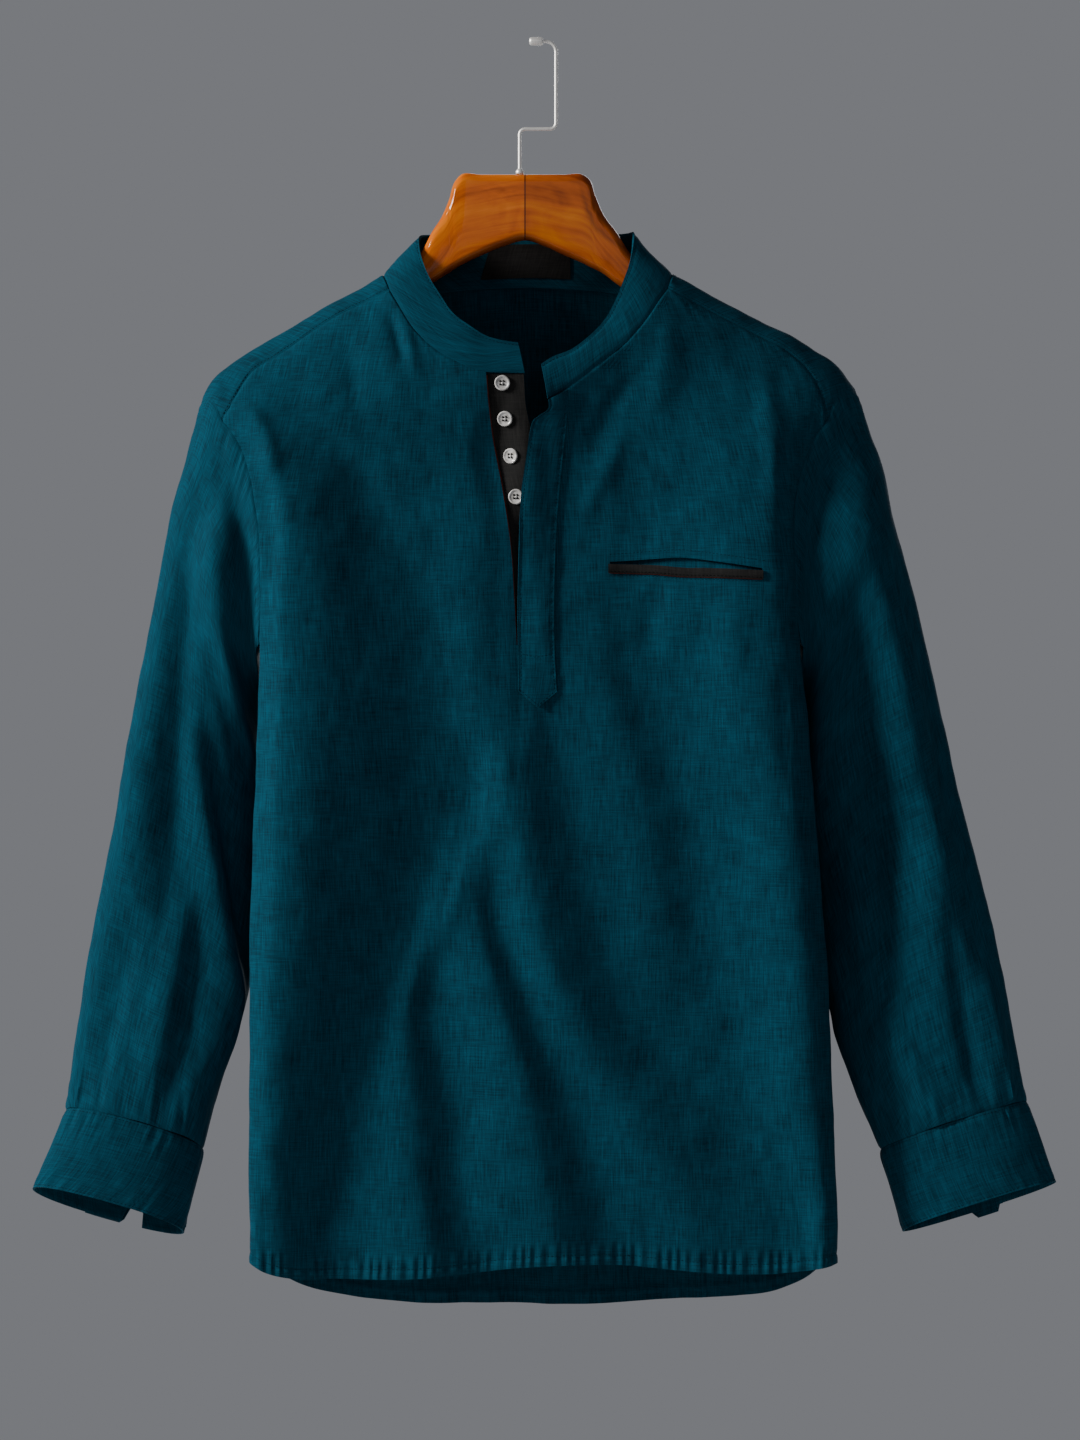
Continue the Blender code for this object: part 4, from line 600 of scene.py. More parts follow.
lead = steps(END_STEPS)[:, None]
right_end = between(COLLAR_RIGHT_END, front_flat[-1, SLOT_RIGHT_COLUMN], lead)[:-1]
left_end = between(front_flat[-1, SLOT_LEFT_COLUMN], COLLAR_LEFT_END, lead)[1:]
neck_columns = slice(SEAM_COLUMNS, SEAM_COLUMNS + BACK_NECK_COLUMNS + 1)
collar_low = np.concatenate([
    front_point(*right_end.T, LAYER * (1 - lead[:-1, 0])),
    front_net[-1, SLOT_RIGHT_COLUMN:RIGHT_CORNER],
    yoke_net[0, neck_columns][::-1],
    front_net[-1, LEFT_CORNER + 1 : SLOT_LEFT_COLUMN + 1],
    front_point(*left_end.T, np.zeros(END_STEPS)),
])
low_length = lengths(collar_low)
collar_high = along(COLLAR_TOP[::-1], low_length / low_length[-1])
collar_rise = steps(COLLAR_ROWS)[:, None, None]
collar_net = between(collar_low, collar_high, collar_rise)
collar_out = outward(collar_net)
collar_net = collar_net + collar_out * COLLAR_BOW * np.sin(math.pi * collar_rise)
right_neck = slice(END_STEPS, END_STEPS + NECK_COLUMNS)
round_neck = slice(right_neck.stop, right_neck.stop + BACK_NECK_COLUMNS + 1)
left_neck = slice(round_neck.stop, round_neck.stop + NECK_COLUMNS)
print("collar:", collar_net.shape[:2], "sewn along", round(low_length[-1]), "mm")

# %% [markdown]
# ## Sleeves
#
# A sleeve is a tube whose first ring is the armhole itself: down the front edge, under the arm, up
# the back edge and over the yoke. From there it becomes a row of flattened ovals, placed by a table
# of their outer and inner edges. Folds on a tube are drawn by the angle round it and the share of
# the way along it.

# %% Sleeve tables
# Columns: outer x, outer z, inner x, inner z, half depth, middle y, pitch in degrees, and how far
# the outer edge comes forward
LEFT_SLEEVE = table(
    (-265.5, -283, -217, -470, 44, -2, 0, 0), (-274.6, -313.6, -219, -478, 47, 5, 0, 3),
    (-282.4, -344.8, -218.5, -492, 48, 12, 0, 6), (-289.4, -376, -217, -512, 48, 18, 1, 9),
    (-295.6, -407, -216, -536, 47, 22, 2, 11), (-301.9, -438, -216, -560, 46, 24, 3, 13),
    (-316.7, -516, -218, -606, 43, 25, 5, 14), (-328.4, -579, -220, -652, 40, 24, 8, 11),
    (-339.3, -641, -223, -700, 37, 20, 11, 7), (-351, -703.6, -228.5, -743, 34, 14, 14, 3),
    (-358.8, -750.4, -237, -772, 31, 8, 17, 1), (-365.8, -797, -250.4, -816, 29, 1, 19, 0),
    (-369.7, -832, -262.9, -861.9, 27, -6, 21, 0),
)
LEFT_CUFF_RIM = table(-393.9, -892.5, -277.7, -925, 24, -17, 22, 0)
RIGHT_SLEEVE = table(
    (248, -275.3, 201, -470, 44, -2, 0, 0), (258.5, -306, 203, -478, 47, 2, 0, 3),
    (268.3, -336.2, 202.5, -492, 48, 4, 0, 7), (276.1, -376, 201, -512, 48, 5, 1, 11),
    (284.7, -407, 200.5, -536, 47, 6, 2, 14), (292.5, -438, 200.5, -560, 46, 6, 3, 16),
    (310.4, -516, 203, -606, 43, 6, 5, 18), (324.5, -579, 208.5, -652, 40, 6, 7, 18),
    (339.3, -641, 215.5, -700, 37, -10, 9, 15), (353.3, -703.6, 224, -746, 34, -19, 11, 12),
    (362.7, -750.4, 231.5, -780, 31, -25, 12, 11), (371.3, -797, 248.5, -826, 29, -30, 13, 10),
    (376.7, -823, 264.4, -861.1, 27, -33, 14, 9),
)
RIGHT_CUFF_RIM = table(398, -884.5, 282, -923, 24, -37, 14, 7)
# Columns: turn and share at the top, turn and share at the low end, width in degrees, height. A
# turn of 0 is the outside and 90 the front
LEFT_SLEEVE_FOLDS = table(
    (38, -0.15, 90, 0.82, 23, -14), (58, 0.62, 52, 1.05, 14, -6), (40, 0, 150, 0.32, 20, 8),
    (92, 0.28, 158, 0.74, 12, -7), (84, 0.34, 168, 0.94, 14, 8), (106, 0.58, 115, 1.02, 8, -5),
    (94, 0.58, 98, 1.04, 10, 5), (140, 0.68, 134, 1.06, 22, 8), (136, 0.22, 165, 0.6, 12, 5),
    (26, 0.78, 24, 1.02, 8, 1.5),
)
RIGHT_SLEEVE_FOLDS = table(
    (84, 0.02, 108, 0.86, 17, -9), (56, 0.06, 74, 0.94, 17, 9), (126, 0.06, 140, 0.6, 13, 4),
    (134, 0.44, 142, 0.96, 12, -4), (66, 0.66, 68, 1.05, 8, -6), (30, 0.24, 40, 0.8, 9, -3),
    (112, 0.78, 96, 1.05, 11, 5), (40, 0.74, 44, 1.05, 10, 4),
)
BEHIND_FOLDS = table(
    (250, 0.06, 262, 0.6, 24, 7), (215, 0.15, 230, 0.7, 20, -7), (290, 0.3, 270, 0.95, 20, -5),
    (240, 0.62, 226, 1, 14, 4),
)
# The roll where a sleeve leaves its armhole seam. Columns: share along, half width of the bell, height
ARMHOLE_ROLL = ((0.105, 0.045, 7), (0.035, 0.024, -6))
ROLL_TURN = 88
ROLL_WIDE = 52
SLEEVE_ROWS = 180
SLEEVE_OVAL = 2.2


def squared(cosine):
    """The cosine of a circle turned into that of a slightly squared oval."""
    return np.sign(cosine) * np.abs(cosine) ** (2 / SLEEVE_OVAL)


def sections(rows, turn):
    """Ovals across a tube: x and z run with the cosine from edge to edge, y with the sine."""
    outer_x, outer_z, inner_x, inner_z, half_y, mid_y, pitch, twist = np.asarray(rows, float).T[..., None]
    c, s, pitch = squared(np.cos(turn)), squared(np.sin(turn)), np.radians(pitch)
    x = (outer_x + inner_x) / 2 + c * (outer_x - inner_x) / 2
    y = mid_y - s * half_y * np.cos(pitch) - c * twist
    z = (outer_z + inner_z) / 2 + c * (outer_z - inner_z) / 2 + s * half_y * np.sin(pitch)
    return np.stack([x, y, z], axis=-1)


def turned_from(turns, centre):
    """Degrees between each turn and a centre, from -180 to 180."""
    return (np.degrees(turns) - centre + 180) % 360 - 180


def from_middle(grid):
    return grid - grid.mean(axis=1, keepdims=True)


def sleeve_grid(rows, ring, fold_table):
    """The sleeve from its armhole ring down to the cuff seam, and each point's turn."""
    middles = (rows[:, :2] + rows[:, 2:4]) / 2
    station = lengths(middles)
    half = (rows[0, :2] - rows[0, 2:4]) / 2
    level = (ring[:, [0, 2]] - middles[0]) @ half / (half @ half)
    forward = -(ring[:, 1] - rows[0, 5]) / rows[0, 4]
    ring_turn = np.unwrap(np.arctan2(forward, level))
    even_turn = np.linspace(ring_turn[0], ring_turn[0] + 2 * np.pi, len(ring), endpoint=False)
    v = steps(SLEEVE_ROWS) ** 1.1
    turns = between(ring_turn, even_turn, ease(v / 0.35)[:, None])
    offset = ring - sections(rows[:1], ring_turn[None])[0]
    points = sections(smooth_rows(v, station / station[-1], rows), turns)
    points = points + offset * (1 - ease(v / 0.16))[:, None, None]
    push = np.zeros(turns.shape)
    for turn_top, share_top, turn_low, share_low, width, height in np.concatenate([fold_table, BEHIND_FOLDS]):
        gone = (v - share_top) / (share_low - share_top)
        away = turned_from(turns, between(turn_top, turn_low, gone)[:, None])
        push += height * np.sin(math.pi * np.clip(gone, 0, 1))[:, None] * bell(away, 0, width)
    push *= ease(v / 0.08)[:, None]
    for share, wide, height in ARMHOLE_ROLL:
        roll = bell(v, share, wide) * ease(v / 0.03)
        push += height * bell(turned_from(turns, ROLL_TURN), 0, ROLL_WIDE) * roll[:, None]
    grid = points + unit(from_middle(points)) * push[..., None]
    grid[0] = ring
    return grid, turns


def turned_away(grid, out):
    """The same normals, all turned so that they point away from the middle of each row."""
    return out * np.sign(np.sum(out * from_middle(grid)))


# %% [markdown]
# ## Seams
#
# Two pieces that are sewn together must meet. They use the same points along the seam, and they
# share the direction in which each point is later pushed in or out, so no gap can open.

# %% Join the pieces at their seams
front_out, back_out, yoke_out = outward(front_net), -outward(back_net), outward(yoke_net)


def share_seam(first, first_at, second, second_at):
    """Gives both sides of a seam the mean of their normals. Each side is an array and an index."""
    first[first_at] = second[second_at] = unit(first[first_at] + second[second_at])


for on_front, on_yoke in (
    (slice(0, LEFT_CORNER + 1), slice(0, SEAM_COLUMNS + 1)),
    (slice(RIGHT_CORNER, LAST_COLUMN + 1), slice(-SEAM_COLUMNS - 1, None)),
):
    yoke_net[0, on_yoke] = front_net[-1, on_front]
    share_seam(front_out, (-1, on_front), yoke_out, (0, on_yoke))
yoke_net[-1] = back_net[-1]
share_seam(back_out, -1, yoke_out, -1)
below_arm = slice(0, HEM_ROWS + 1)
for end in (0, -1):
    front_net[below_arm, end] = back_net[below_arm, end]
    share_seam(front_out, (below_arm, end), back_out, (below_arm, end))

share_seam(front_out, (-1, slice(SLOT_RIGHT_COLUMN, RIGHT_CORNER)), collar_out, (0, right_neck))
on_flipped = slice(BACK_COLUMNS - neck_columns.stop + 1, BACK_COLUMNS - neck_columns.start + 1)
share_seam(yoke_out[:, ::-1], (0, on_flipped), collar_out, (0, round_neck))
front_out[-1, LEFT_CORNER] = yoke_out[0, neck_columns.start]
front_out[-1, RIGHT_CORNER] = yoke_out[0, neck_columns.stop - 1]
share_seam(front_out, (-1, slice(LEFT_CORNER + 1, SLOT_LEFT_COLUMN + 1)), collar_out, (0, left_neck))


def armhole(front_part, back_part, yoke_part, end):
    """A ring down the front edge, up the back edge and over the yoke."""
    parts = front_part[HEM_ROWS:, end][::-1], back_part[HEM_ROWS + 1 :, end], yoke_part[1:-1, end][::-1]
    return np.concatenate(parts)


sleeve_nets = {}
for side, end, rows, fold_table in (
    ("left", 0, LEFT_SLEEVE, LEFT_SLEEVE_FOLDS), ("right", -1, RIGHT_SLEEVE, RIGHT_SLEEVE_FOLDS),
):
    sleeve, turns = sleeve_grid(rows, armhole(front_net, back_net, yoke_net, end), fold_table)
    sleeve_out = turned_away(sleeve, outward(sleeve, around=True))
    shared = unit(armhole(front_out, back_out, yoke_out, end) + sleeve_out[0])
    under = len(front_net) - HEM_ROWS - 1
    top = under + len(back_net) - HEM_ROWS
    front_out[HEM_ROWS:, end] = shared[: under + 1][::-1]
    back_out[HEM_ROWS:, end] = shared[under:top]
    yoke_out[1:-1, end] = shared[top:][::-1]
    yoke_out[0, end] = shared[0]
    yoke_out[-1, end] = shared[top - 1]
    sleeve_out[0] = shared
    sleeve_nets[side] = (sleeve, sleeve_out, turns[-1])
    print("sleeve_" + side, "ring of", len(shared), "points")

# %% [markdown]
# ## Relief
#
# Relief is what a finger would feel: the rumple everywhere, the groove of each seam, the ripple
# beside it, and the ridge of a folded hem. It is one number for each point of a grid, and the point
# moves by it along its normal. A seam's groove is the same on both of its sides.

# %% Relief functions
GOLDEN_ANGLE = 2.39996
RUMPLE_WAVES = 14
RUMPLE_LONG = 74.0
RUMPLE_HIGH = 0.55
CREASE_LONG = 24.0
CREASE_HIGH = 0.16
GROOVE = 0.8
GROOVE_WIDE = 1.6
SEAM_STITCH = 2.0


def rumple(points, longest, height, seed):
    """Sum of sines in space: wave k looks towards point k of a spiral on a sphere, ever shorter."""
    total = np.zeros(points.shape[:-1])
    for k in range(RUMPLE_WAVES):
        level = 1 - 2 * (k + 0.5) / RUMPLE_WAVES
        turn = GOLDEN_ANGLE * (k + seed)
        out = math.sqrt(1 - level * level)
        way = np.array([out * math.cos(turn), out * math.sin(turn), 0.6 * level])
        wave = 2 * math.pi / (longest * (1 - 0.67 * k / RUMPLE_WAVES))
        total = total + np.sin(wave * (points @ way) + 1.7 * k * k + seed)
    return height * total / math.sqrt(RUMPLE_WAVES)


def cloth_life(points):
    return rumple(points, RUMPLE_LONG, RUMPLE_HIGH, 1.0) + rumple(points, CREASE_LONG, CREASE_HIGH, 4.0)


class Panel:
    """A piece of cloth: a net of points, its normals, and its skin, the net once it is raised."""

    def __init__(self, net, out):
        self.net = self.skin = net
        self.out = out
        across = np.cumsum(np.linalg.norm(np.diff(net, axis=1), axis=-1), axis=1)
        up = np.cumsum(np.linalg.norm(np.diff(net, axis=0), axis=-1), axis=0)
        self.across = np.concatenate([np.zeros((len(net), 1)), across], axis=1)
        self.up = np.concatenate([np.zeros((1, net.shape[1])), up], axis=0)
        self.from_right = self.across[:, -1:] - self.across
        self.from_top = self.up[-1:] - self.up

    def raised(self, relief):
        """The panel with each point of its skin moved out by relief."""
        self.skin = self.skin + self.out * relief[..., None]
        return self


def pucker(distance, run, period, height, reach, seed):
    """Ripple that is nothing on the seam, highest at reach from it, and fades beyond."""
    far = distance / reach
    return height * far * np.exp(1 - far) * ripple(run, period, seed)


def groove(distance):
    return -GROOVE * bell(distance, 0, GROOVE_WIDE)


def sewn(distance, *pull):
    """The groove of a seam and the pucker beside it."""
    return groove(distance) + pucker(distance, *pull)


def side_seams(panel, *pull):
    """The seams up both sides of a panel. The last two values seed the left and the right one."""
    *pull, left_seed, right_seed = pull
    left = sewn(panel.across, panel.up, *pull, left_seed)
    return left + sewn(panel.from_right, panel.up, *pull, right_seed)


def hem_relief(panel, deep, seed):
    """A turned hem: puffed up to its stitches, drawn in on them, and rippled either side."""
    distance = panel.up
    puff = 0.3 * bell(distance, 0.45 * deep, 0.3 * deep) - 0.7 * bell(distance, deep, HEM_STEP)
    near = bell(distance, 0.5 * deep, 0.6 * deep) + 0.8 * bell(distance, 1.5 * deep, 0.7 * deep)
    return puff + 0.7 * near * ripple(panel.across, HEM_WAVE, seed)


def stitched(distance, run, at, dip, dip_wide, swell, swell_wide, period, seed=0.0):
    """Cloth drawn in on a row of stitches at a distance from an edge, and rippled beside it."""
    beside = swell * bell(distance, at, swell_wide) * ripple(run, period, seed)
    return beside - dip * bell(distance, at, dip_wide)


# %% Relief of the body pieces
# The numbers of a pull are the ripple's period, its height, its reach and its seed
front = Panel(front_net, front_out)
relief = cloth_life(front_net) + groove(front.from_top) + hem_relief(front, FRONT_HEM_DEEP, 0.4)
armhole_period = np.where(np.arange(len(front_net))[:, None] >= HEM_ROWS, 15.0, 22.0)
relief += side_seams(front, armhole_period, 0.7, 6.0, 1.3, 2.9)
columns = np.arange(LAST_COLUMN + 1)
top_height = np.where((columns <= LEFT_CORNER) | (columns >= RIGHT_CORNER), 0.7, 0.35)
front.raised(relief + pucker(front.from_top, front.across, 12.0, top_height, 5.0, 5.2))
print("front relief from", relief.min().round(1), "to", relief.max().round(1), "mm")

back = Panel(back_net, back_out)
relief = cloth_life(back_net) + hem_relief(back, BACK_HEM_DEEP, 2.2)
relief += sewn(back.from_top, back.across, 14.0, 0.7, 6.0, 0.7)
back.raised(relief + side_seams(back, 18.0, 0.7, 6.0, 1.3, 2.9))

yoke = Panel(yoke_net, yoke_out)
relief = cloth_life(yoke_net) + groove(yoke.from_top) + sewn(yoke.up, yoke.across, 12.0, 0.5, 4.0, 3.1)
yoke.raised(relief + side_seams(yoke, 13.0, 0.5, 5.0, 0.9, 0.9))

collar = Panel(collar_net, collar_out)
relief = 0.4 * cloth_life(collar_net) + sewn(collar.up, collar.across, 9.0, 0.35, 4.0, 2.0)
collar.raised(relief + stitched(collar.from_top, collar.across, COLLAR_EDGE, 0.5, 0.9, 0.25, 3.5, 7.0, 1.0))

# %% [markdown]
# ## Cloth and its colours
#
# Linen yarn is uneven: thick places, called slubs, lie along single threads and show as short pale
# or dark dashes, both ways. The weave group works on flat coordinates in metres, kept with each
# piece, so the dashes follow the cut of the cloth. It gives a share for the colour and a height.
# Along a hem the stitches draw the cloth into waves too short for the grid: a second group gives
# their height from the distance to the hem and the run along it, which front and back carry.

# %% Ways to put shader nodes together
def feed(tree, socket, value):
    """Gives a socket a value, or links it to another node's socket."""
    if isinstance(value, bpy.types.NodeSocket):
        tree.links.new(value, socket)
    else:
        socket.default_value = value


def fill(tree, made, **values):
    for name, value in values.items():
        feed(tree, made.inputs[name.replace("_", " ")], value)
    return made


def node(tree, kind, **values):
    return fill(tree, tree.nodes.new("ShaderNode" + kind), **values)


def math_node(tree, operation, *values):
    made = node(tree, "Math")
    made.operation = operation
    for socket, value in zip(made.inputs, values):
        feed(tree, socket, value)
    return made.outputs[0]


def plus(tree, first, second):
    return math_node(tree, "ADD", first, second)


def times(tree, first, second):
    return math_node(tree, "MULTIPLY", first, second)


def noise(tree, place, scale, detail, roughness=0.6, distortion=0.0):
    """Noise on a place that is first stretched by a scale each way."""
    spread = node(tree, "Mapping", Vector=place, Scale=scale).outputs[0]
    made = node(tree, "TexNoise", Vector=spread, Scale=1.0, Detail=detail, Roughness=roughness)
    return fill(tree, made, Distortion=distortion).outputs["Fac"]


def ranged(tree, value, low, high, to_low, to_high):
    """A value moved from one range to another and held at its ends."""
    ends = {"From_Min": low, "From_Max": high, "To_Min": to_low, "To_Max": to_high}
    return node(tree, "MapRange", Value=value, **ends).outputs["Result"]


def ramp(tree, share, *stops):
    """A colour from a share through stops of position and colour."""
    made = node(tree, "ValToRGB", Fac=share)
    marks = made.color_ramp.elements
    for mark, (position, colour) in zip(marks, (stops[0], stops[-1])):
        mark.position = position
        mark.color = colour
    for position, colour in stops[1:-1]:
        marks.new(position).color = colour
    return made.outputs["Color"]


def attribute(tree, name, output):
    made = node(tree, "Attribute")
    made.attribute_name = name
    return made.outputs[output]


def new_group(name, place, *results):
    """A node group with one vector in and numbers out: its tree, its start's socket and its end."""
    tree = bpy.data.node_groups.new(name, "ShaderNodeTree")
    tree.interface.new_socket(place, in_out="INPUT", socket_type="NodeSocketVector")
    for result in results:
        tree.interface.new_socket(result, in_out="OUTPUT", socket_type="NodeSocketFloat")
    return tree, tree.nodes.new("NodeGroupInput").outputs[0], tree.nodes.new("NodeGroupOutput")


def use_group(tree, group, place):
    made = node(tree, "Group")
    made.node_tree = group
    tree.links.new(place, made.inputs[0])
    return made.outputs


# %% The linen group and the plain materials
# Stretch of the noise along a thread, across it, and for broad clouds; detail; share of the tone
SLUBS = (((50, 1000, 1), 2, 0.33), ((900, 45, 1), 2, 0.47), ((45, 45, 1), 3, 0.20))
SLUB_HIGH = 0.0004
HEM_WAVE_HIGH = 0.0007
HEM_WAVE_TURN = 722.0
HEM_DRIFT_TURN = 160.0
HEM_DRIFT = 1.3
HEM_MIDDLE = 0.007
HEM_NEAR = 0.002
HEM_FAR = 0.013


def linen_group():
    """Slubs and threads both ways. In: flat place in metres. Out: Tone, 0 to 1, and Height."""
    tree, place, end = new_group("linen", "Flat", "Tone", "Height")
    parts = [times(tree, noise(tree, place, scale, detail), share) for scale, detail, share in SLUBS]
    threads = plus(tree, *parts[:2])
    fill(tree, end, Tone=plus(tree, threads, parts[2]), Height=threads)
    return tree


def hem_group():
    """Short waves where a hem's stitches draw it in. In: distance, run and 1. Out: Height."""
    tree, place, end = new_group("drawn_hem", "Hem", "Height")
    distance, run, given = node(tree, "SeparateXYZ", Vector=place).outputs
    drift = times(tree, math_node(tree, "SINE", times(tree, run, HEM_DRIFT_TURN)), HEM_DRIFT)
    wave = math_node(tree, "SINE", plus(tree, times(tree, run, HEM_WAVE_TURN), drift))
    off = math_node(tree, "ABSOLUTE", math_node(tree, "SUBTRACT", distance, HEM_MIDDLE))
    swing = times(tree, wave, ranged(tree, off, HEM_NEAR, HEM_FAR, 1.0, 0.0))
    fill(tree, end, Height=times(tree, swing, given))
    return tree


LINEN = linen_group()
DRAWN_HEM = hem_group()


def linear(red, green, blue):
    """A colour given as 0 to 255 for the screen, as light."""
    value = np.array([red, green, blue]) / 255
    light = np.where(value <= 0.04045, value / 12.92, ((value + 0.055) / 1.055) ** 2.4)
    return (*light.tolist(), 1.0)


def plain(name, colour, roughness, metallic=0.0, specular=0.5):
    """A material of one colour, its tree and its shader."""
    made = bpy.data.materials.new(name)
    made.use_nodes = True
    shader = made.node_tree.nodes["Principled BSDF"]
    values = {"Roughness": roughness, "Metallic": metallic, "Specular_IOR_Level": specular}
    return made, made.node_tree, fill(made.node_tree, shader, Base_Color=colour, **values)


def linen(name, dark, light, roughness, sheen, tint):
    """A linen finish whose colour runs from dark to light with the weave's tone."""
    made, tree, shader = plain(name, dark, roughness, specular=0.12)
    flat = node(tree, "UVMap")
    flat.uv_map = "flat"
    tone, height = use_group(tree, LINEN, flat.outputs[0])
    waves = use_group(tree, DRAWN_HEM, attribute(tree, "hem", "Vector"))[0]
    threads = node(tree, "Bump", Strength=0.5, Distance=SLUB_HIGH, Height=height).outputs[0]
    drawn = node(tree, "Bump", Strength=1.0, Distance=HEM_WAVE_HIGH, Height=waves, Normal=threads)
    fill(
        tree, shader, Base_Color=ramp(tree, tone, (0.36, dark), (0.66, light)), Normal=drawn.outputs[0],
        Sheen_Weight=sheen, Sheen_Roughness=0.5, Sheen_Tint=tint,
    )
    return made


TEAL = linen("teal_linen_cloth", linear(1, 35, 48), linear(11, 70, 89), 0.9, 0.02, linear(60, 150, 170))
BLACK = linen("black_linen_cloth", linear(16, 16, 16), linear(36, 35, 34), 0.85, 0.03, linear(120, 120, 120))
# The black thread finish serves the welt's real stitches and the painted shade in the button holes.
THREAD, RUST, BLACK_THREAD_AND_HOLE_SHADE, PALE_THREAD = (
    plain(name, linear(*colour), roughness, specular=specular)[0]
    for name, colour, roughness, specular in (
        ("teal_thread", (3, 40, 54), 0.7, 0.1), ("rust_thread", (86, 36, 26), 0.75, 0.1),
        ("black_thread_and_hole_shade", (20, 20, 20), 0.65, 0.1), ("pale_thread", (222, 220, 216), 0.6, 0.5),
    )
)
print("materials:", len(bpy.data.materials))

# %% [markdown]
# ## From a grid to a cloth piece
#
# A cloth piece is a closed wall: the outer face, the inner face a thickness behind it, and a rim
# along every edge. Faces can be left out, for the placket's slot and the pocket's mouth.

# %% Walls and how they ride
pieces = {}


def wall(outer, inner, keep=None, around=False):
    """Points, quads and grid places of a wall between two grids."""
    rows, columns = outer.shape[:2]
    index = np.arange(rows * columns).reshape(rows, columns)
    right = np.roll(index, -1, axis=1) if around else index[:, 1:]
    left = index if around else index[:, :-1]
    quads = np.stack([left[:-1], right[:-1], right[1:], left[1:]], axis=-1)
    if keep is not None:
        quads = quads[keep]
    quads = quads.reshape(-1, 4)
    starts = quads.ravel()
    ends = np.roll(quads, -1, axis=1).ravel()
    total = rows * columns
    lone = ~np.isin(starts * total + ends, ends * total + starts)
    rim = np.stack([ends[lone], starts[lone], starts[lone] + total, ends[lone] + total], axis=-1)
    faces = np.concatenate([quads, quads[:, ::-1] + total, rim])
    points = np.concatenate([outer.reshape(-1, 3), inner.reshape(-1, 3)])
    used = np.unique(faces)
    place = np.zeros(2 * total, int)
    place[used] = np.arange(len(used))
    return points[used], place[faces], used % total


def add(name, points, faces, finish, flat=None, wrap=0.0):
    """A piece from points in millimetres. flat is each point's place in the cut cloth, in metres.

    Past the last column of a tube the cloth's places go on by wrap instead of starting again.
    """
    mesh = bpy.data.meshes.new(name)
    corners = faces if isinstance(faces, list) else faces.tolist()
    mesh.from_pydata((points * MM).tolist(), [], corners)
    mesh.shade_smooth()
    mesh.set_sharp_from_angle(angle=math.radians(50))
    mesh.materials.append(finish)
    if flat is not None:
        corners = flat[faces]
        if wrap:
            low = corners[..., 0] < corners[..., 0].max(axis=1, keepdims=True) - wrap / 2
            corners[..., 0] += wrap * low
        layer = mesh.uv_layers.new(name="flat")
        layer.data.foreach_set("uv", corners.reshape(-1).astype(np.float32))
    pieces[name] = bpy.data.objects.new(name, mesh)
    bpy.context.scene.collection.objects.link(pieces[name])
    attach(pieces[name], "root")
    return pieces[name]


def keep_with_points(made, name, kind, values):
    """Stores a value of the given kind with each point, for the finish to read."""
    layer = made.data.attributes.new(name=name, type=kind, domain="POINT")
    field = "vector" if kind == "FLOAT_VECTOR" else "value"
    layer.data.foreach_set(field, values.astype(np.float32).ravel())


def facing_out(made):
    """Flips a closed piece whose faces look inward."""
    bm = bmesh.new()
    bm.from_mesh(made.data)
    if bm.calc_volume(signed=True) < 0:
        bmesh.ops.reverse_faces(bm, faces=bm.faces)
        bm.to_mesh(made.data)
    bm.free()
    return made


def grid_area(grid):
    """Area of a grid in square metres, from the cross product of each cell's diagonals."""
    first = grid[1:, 1:] - grid[:-1, :-1]
    second = grid[1:, :-1] - grid[:-1, 1:]
    return float(np.linalg.norm(np.cross(first, second), axis=-1).sum() / 2 * MM * MM)


def add_cloth(name, panel, flat, finish=TEAL, thick=CLOTH, step=1, hem=False, keep=None, girth=0.0):
    """A cloth piece that stands for the frame's node of the same name.

    flat is its place in the cut cloth in millimetres, step is -1 where columns run to the left as
    seen from outside, girth is the way round a tube, and with hem each point keeps its distance
    from the hem and its run.
    """
    grids = (panel.skin, panel.out, thick + 0 * panel.up, *flat, panel.up, panel.across)
    skin, out, thick, flat_x, flat_y, up, across = (grid[:, ::step] for grid in grids)
    points, faces, places = wall(skin, skin - out * thick[..., None], keep, girth > 0)
    flat = (np.stack([flat_x, flat_y], axis=-1) * MM).reshape(-1, 2)
    made = add("cloth_" + name, points, faces, finish, flat[places], girth * MM)
    if hem:
        marks = np.stack([up, across, 1000.0 + 0 * up], axis=-1).reshape(-1, 3) * MM
        keep_with_points(made, "hem", "FLOAT_VECTOR", marks[places])
    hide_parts(name)
    print(made.name, len(faces), "quads,", round(grid_area(skin), 4), "square metres")
    return made


def add_edging(name, panel, thick):
    """A thin edge in rust thread."""
    add(name, *wall(panel.skin, panel.skin - panel.out * thick)[:2], RUST)


def hem_thick(distance, deep):
    """The cloth's thickness and, up to the hem's stitches, that of its turning."""
    return CLOTH + HEM_TURNING * ease((deep + HEM_STEP - distance) / HEM_STEP)


# %% The body pieces
middle = (SLOT_LEFT_COLUMN + SLOT_RIGHT_COLUMN) // 2
keep = np.ones((front_net.shape[0] - 1, LAST_COLUMN), bool)
keep[HEM_ROWS:, SLOT_LEFT_COLUMN:SLOT_RIGHT_COLUMN] = False
mouth_row = HEM_ROWS + CHEST_ROWS
keep[mouth_row : mouth_row + MOUTH_ROWS, POCKET_FIRST:POCKET_LAST] = False
place = (front.across - front.across[:, middle : middle + 1], front_net[..., 2])
add_cloth("front", front, place, thick=hem_thick(front.up, FRONT_HEM_DEEP), hem=True, keep=keep)

middle = BACK_COLUMNS // 2
place = (back.across - back.across[:, middle : middle + 1] + 700, back_net[..., 2])
add_cloth("back", back, place, thick=hem_thick(back.up, BACK_HEM_DEEP), hem=True, step=-1)
add_cloth("yoke", yoke, (yoke.across - yoke.across[:, middle : middle + 1] + 1400, yoke.up))
COLLAR_THICK = 1.9
add_cloth("collar", collar, (collar.across, collar.up + 600), thick=COLLAR_THICK)

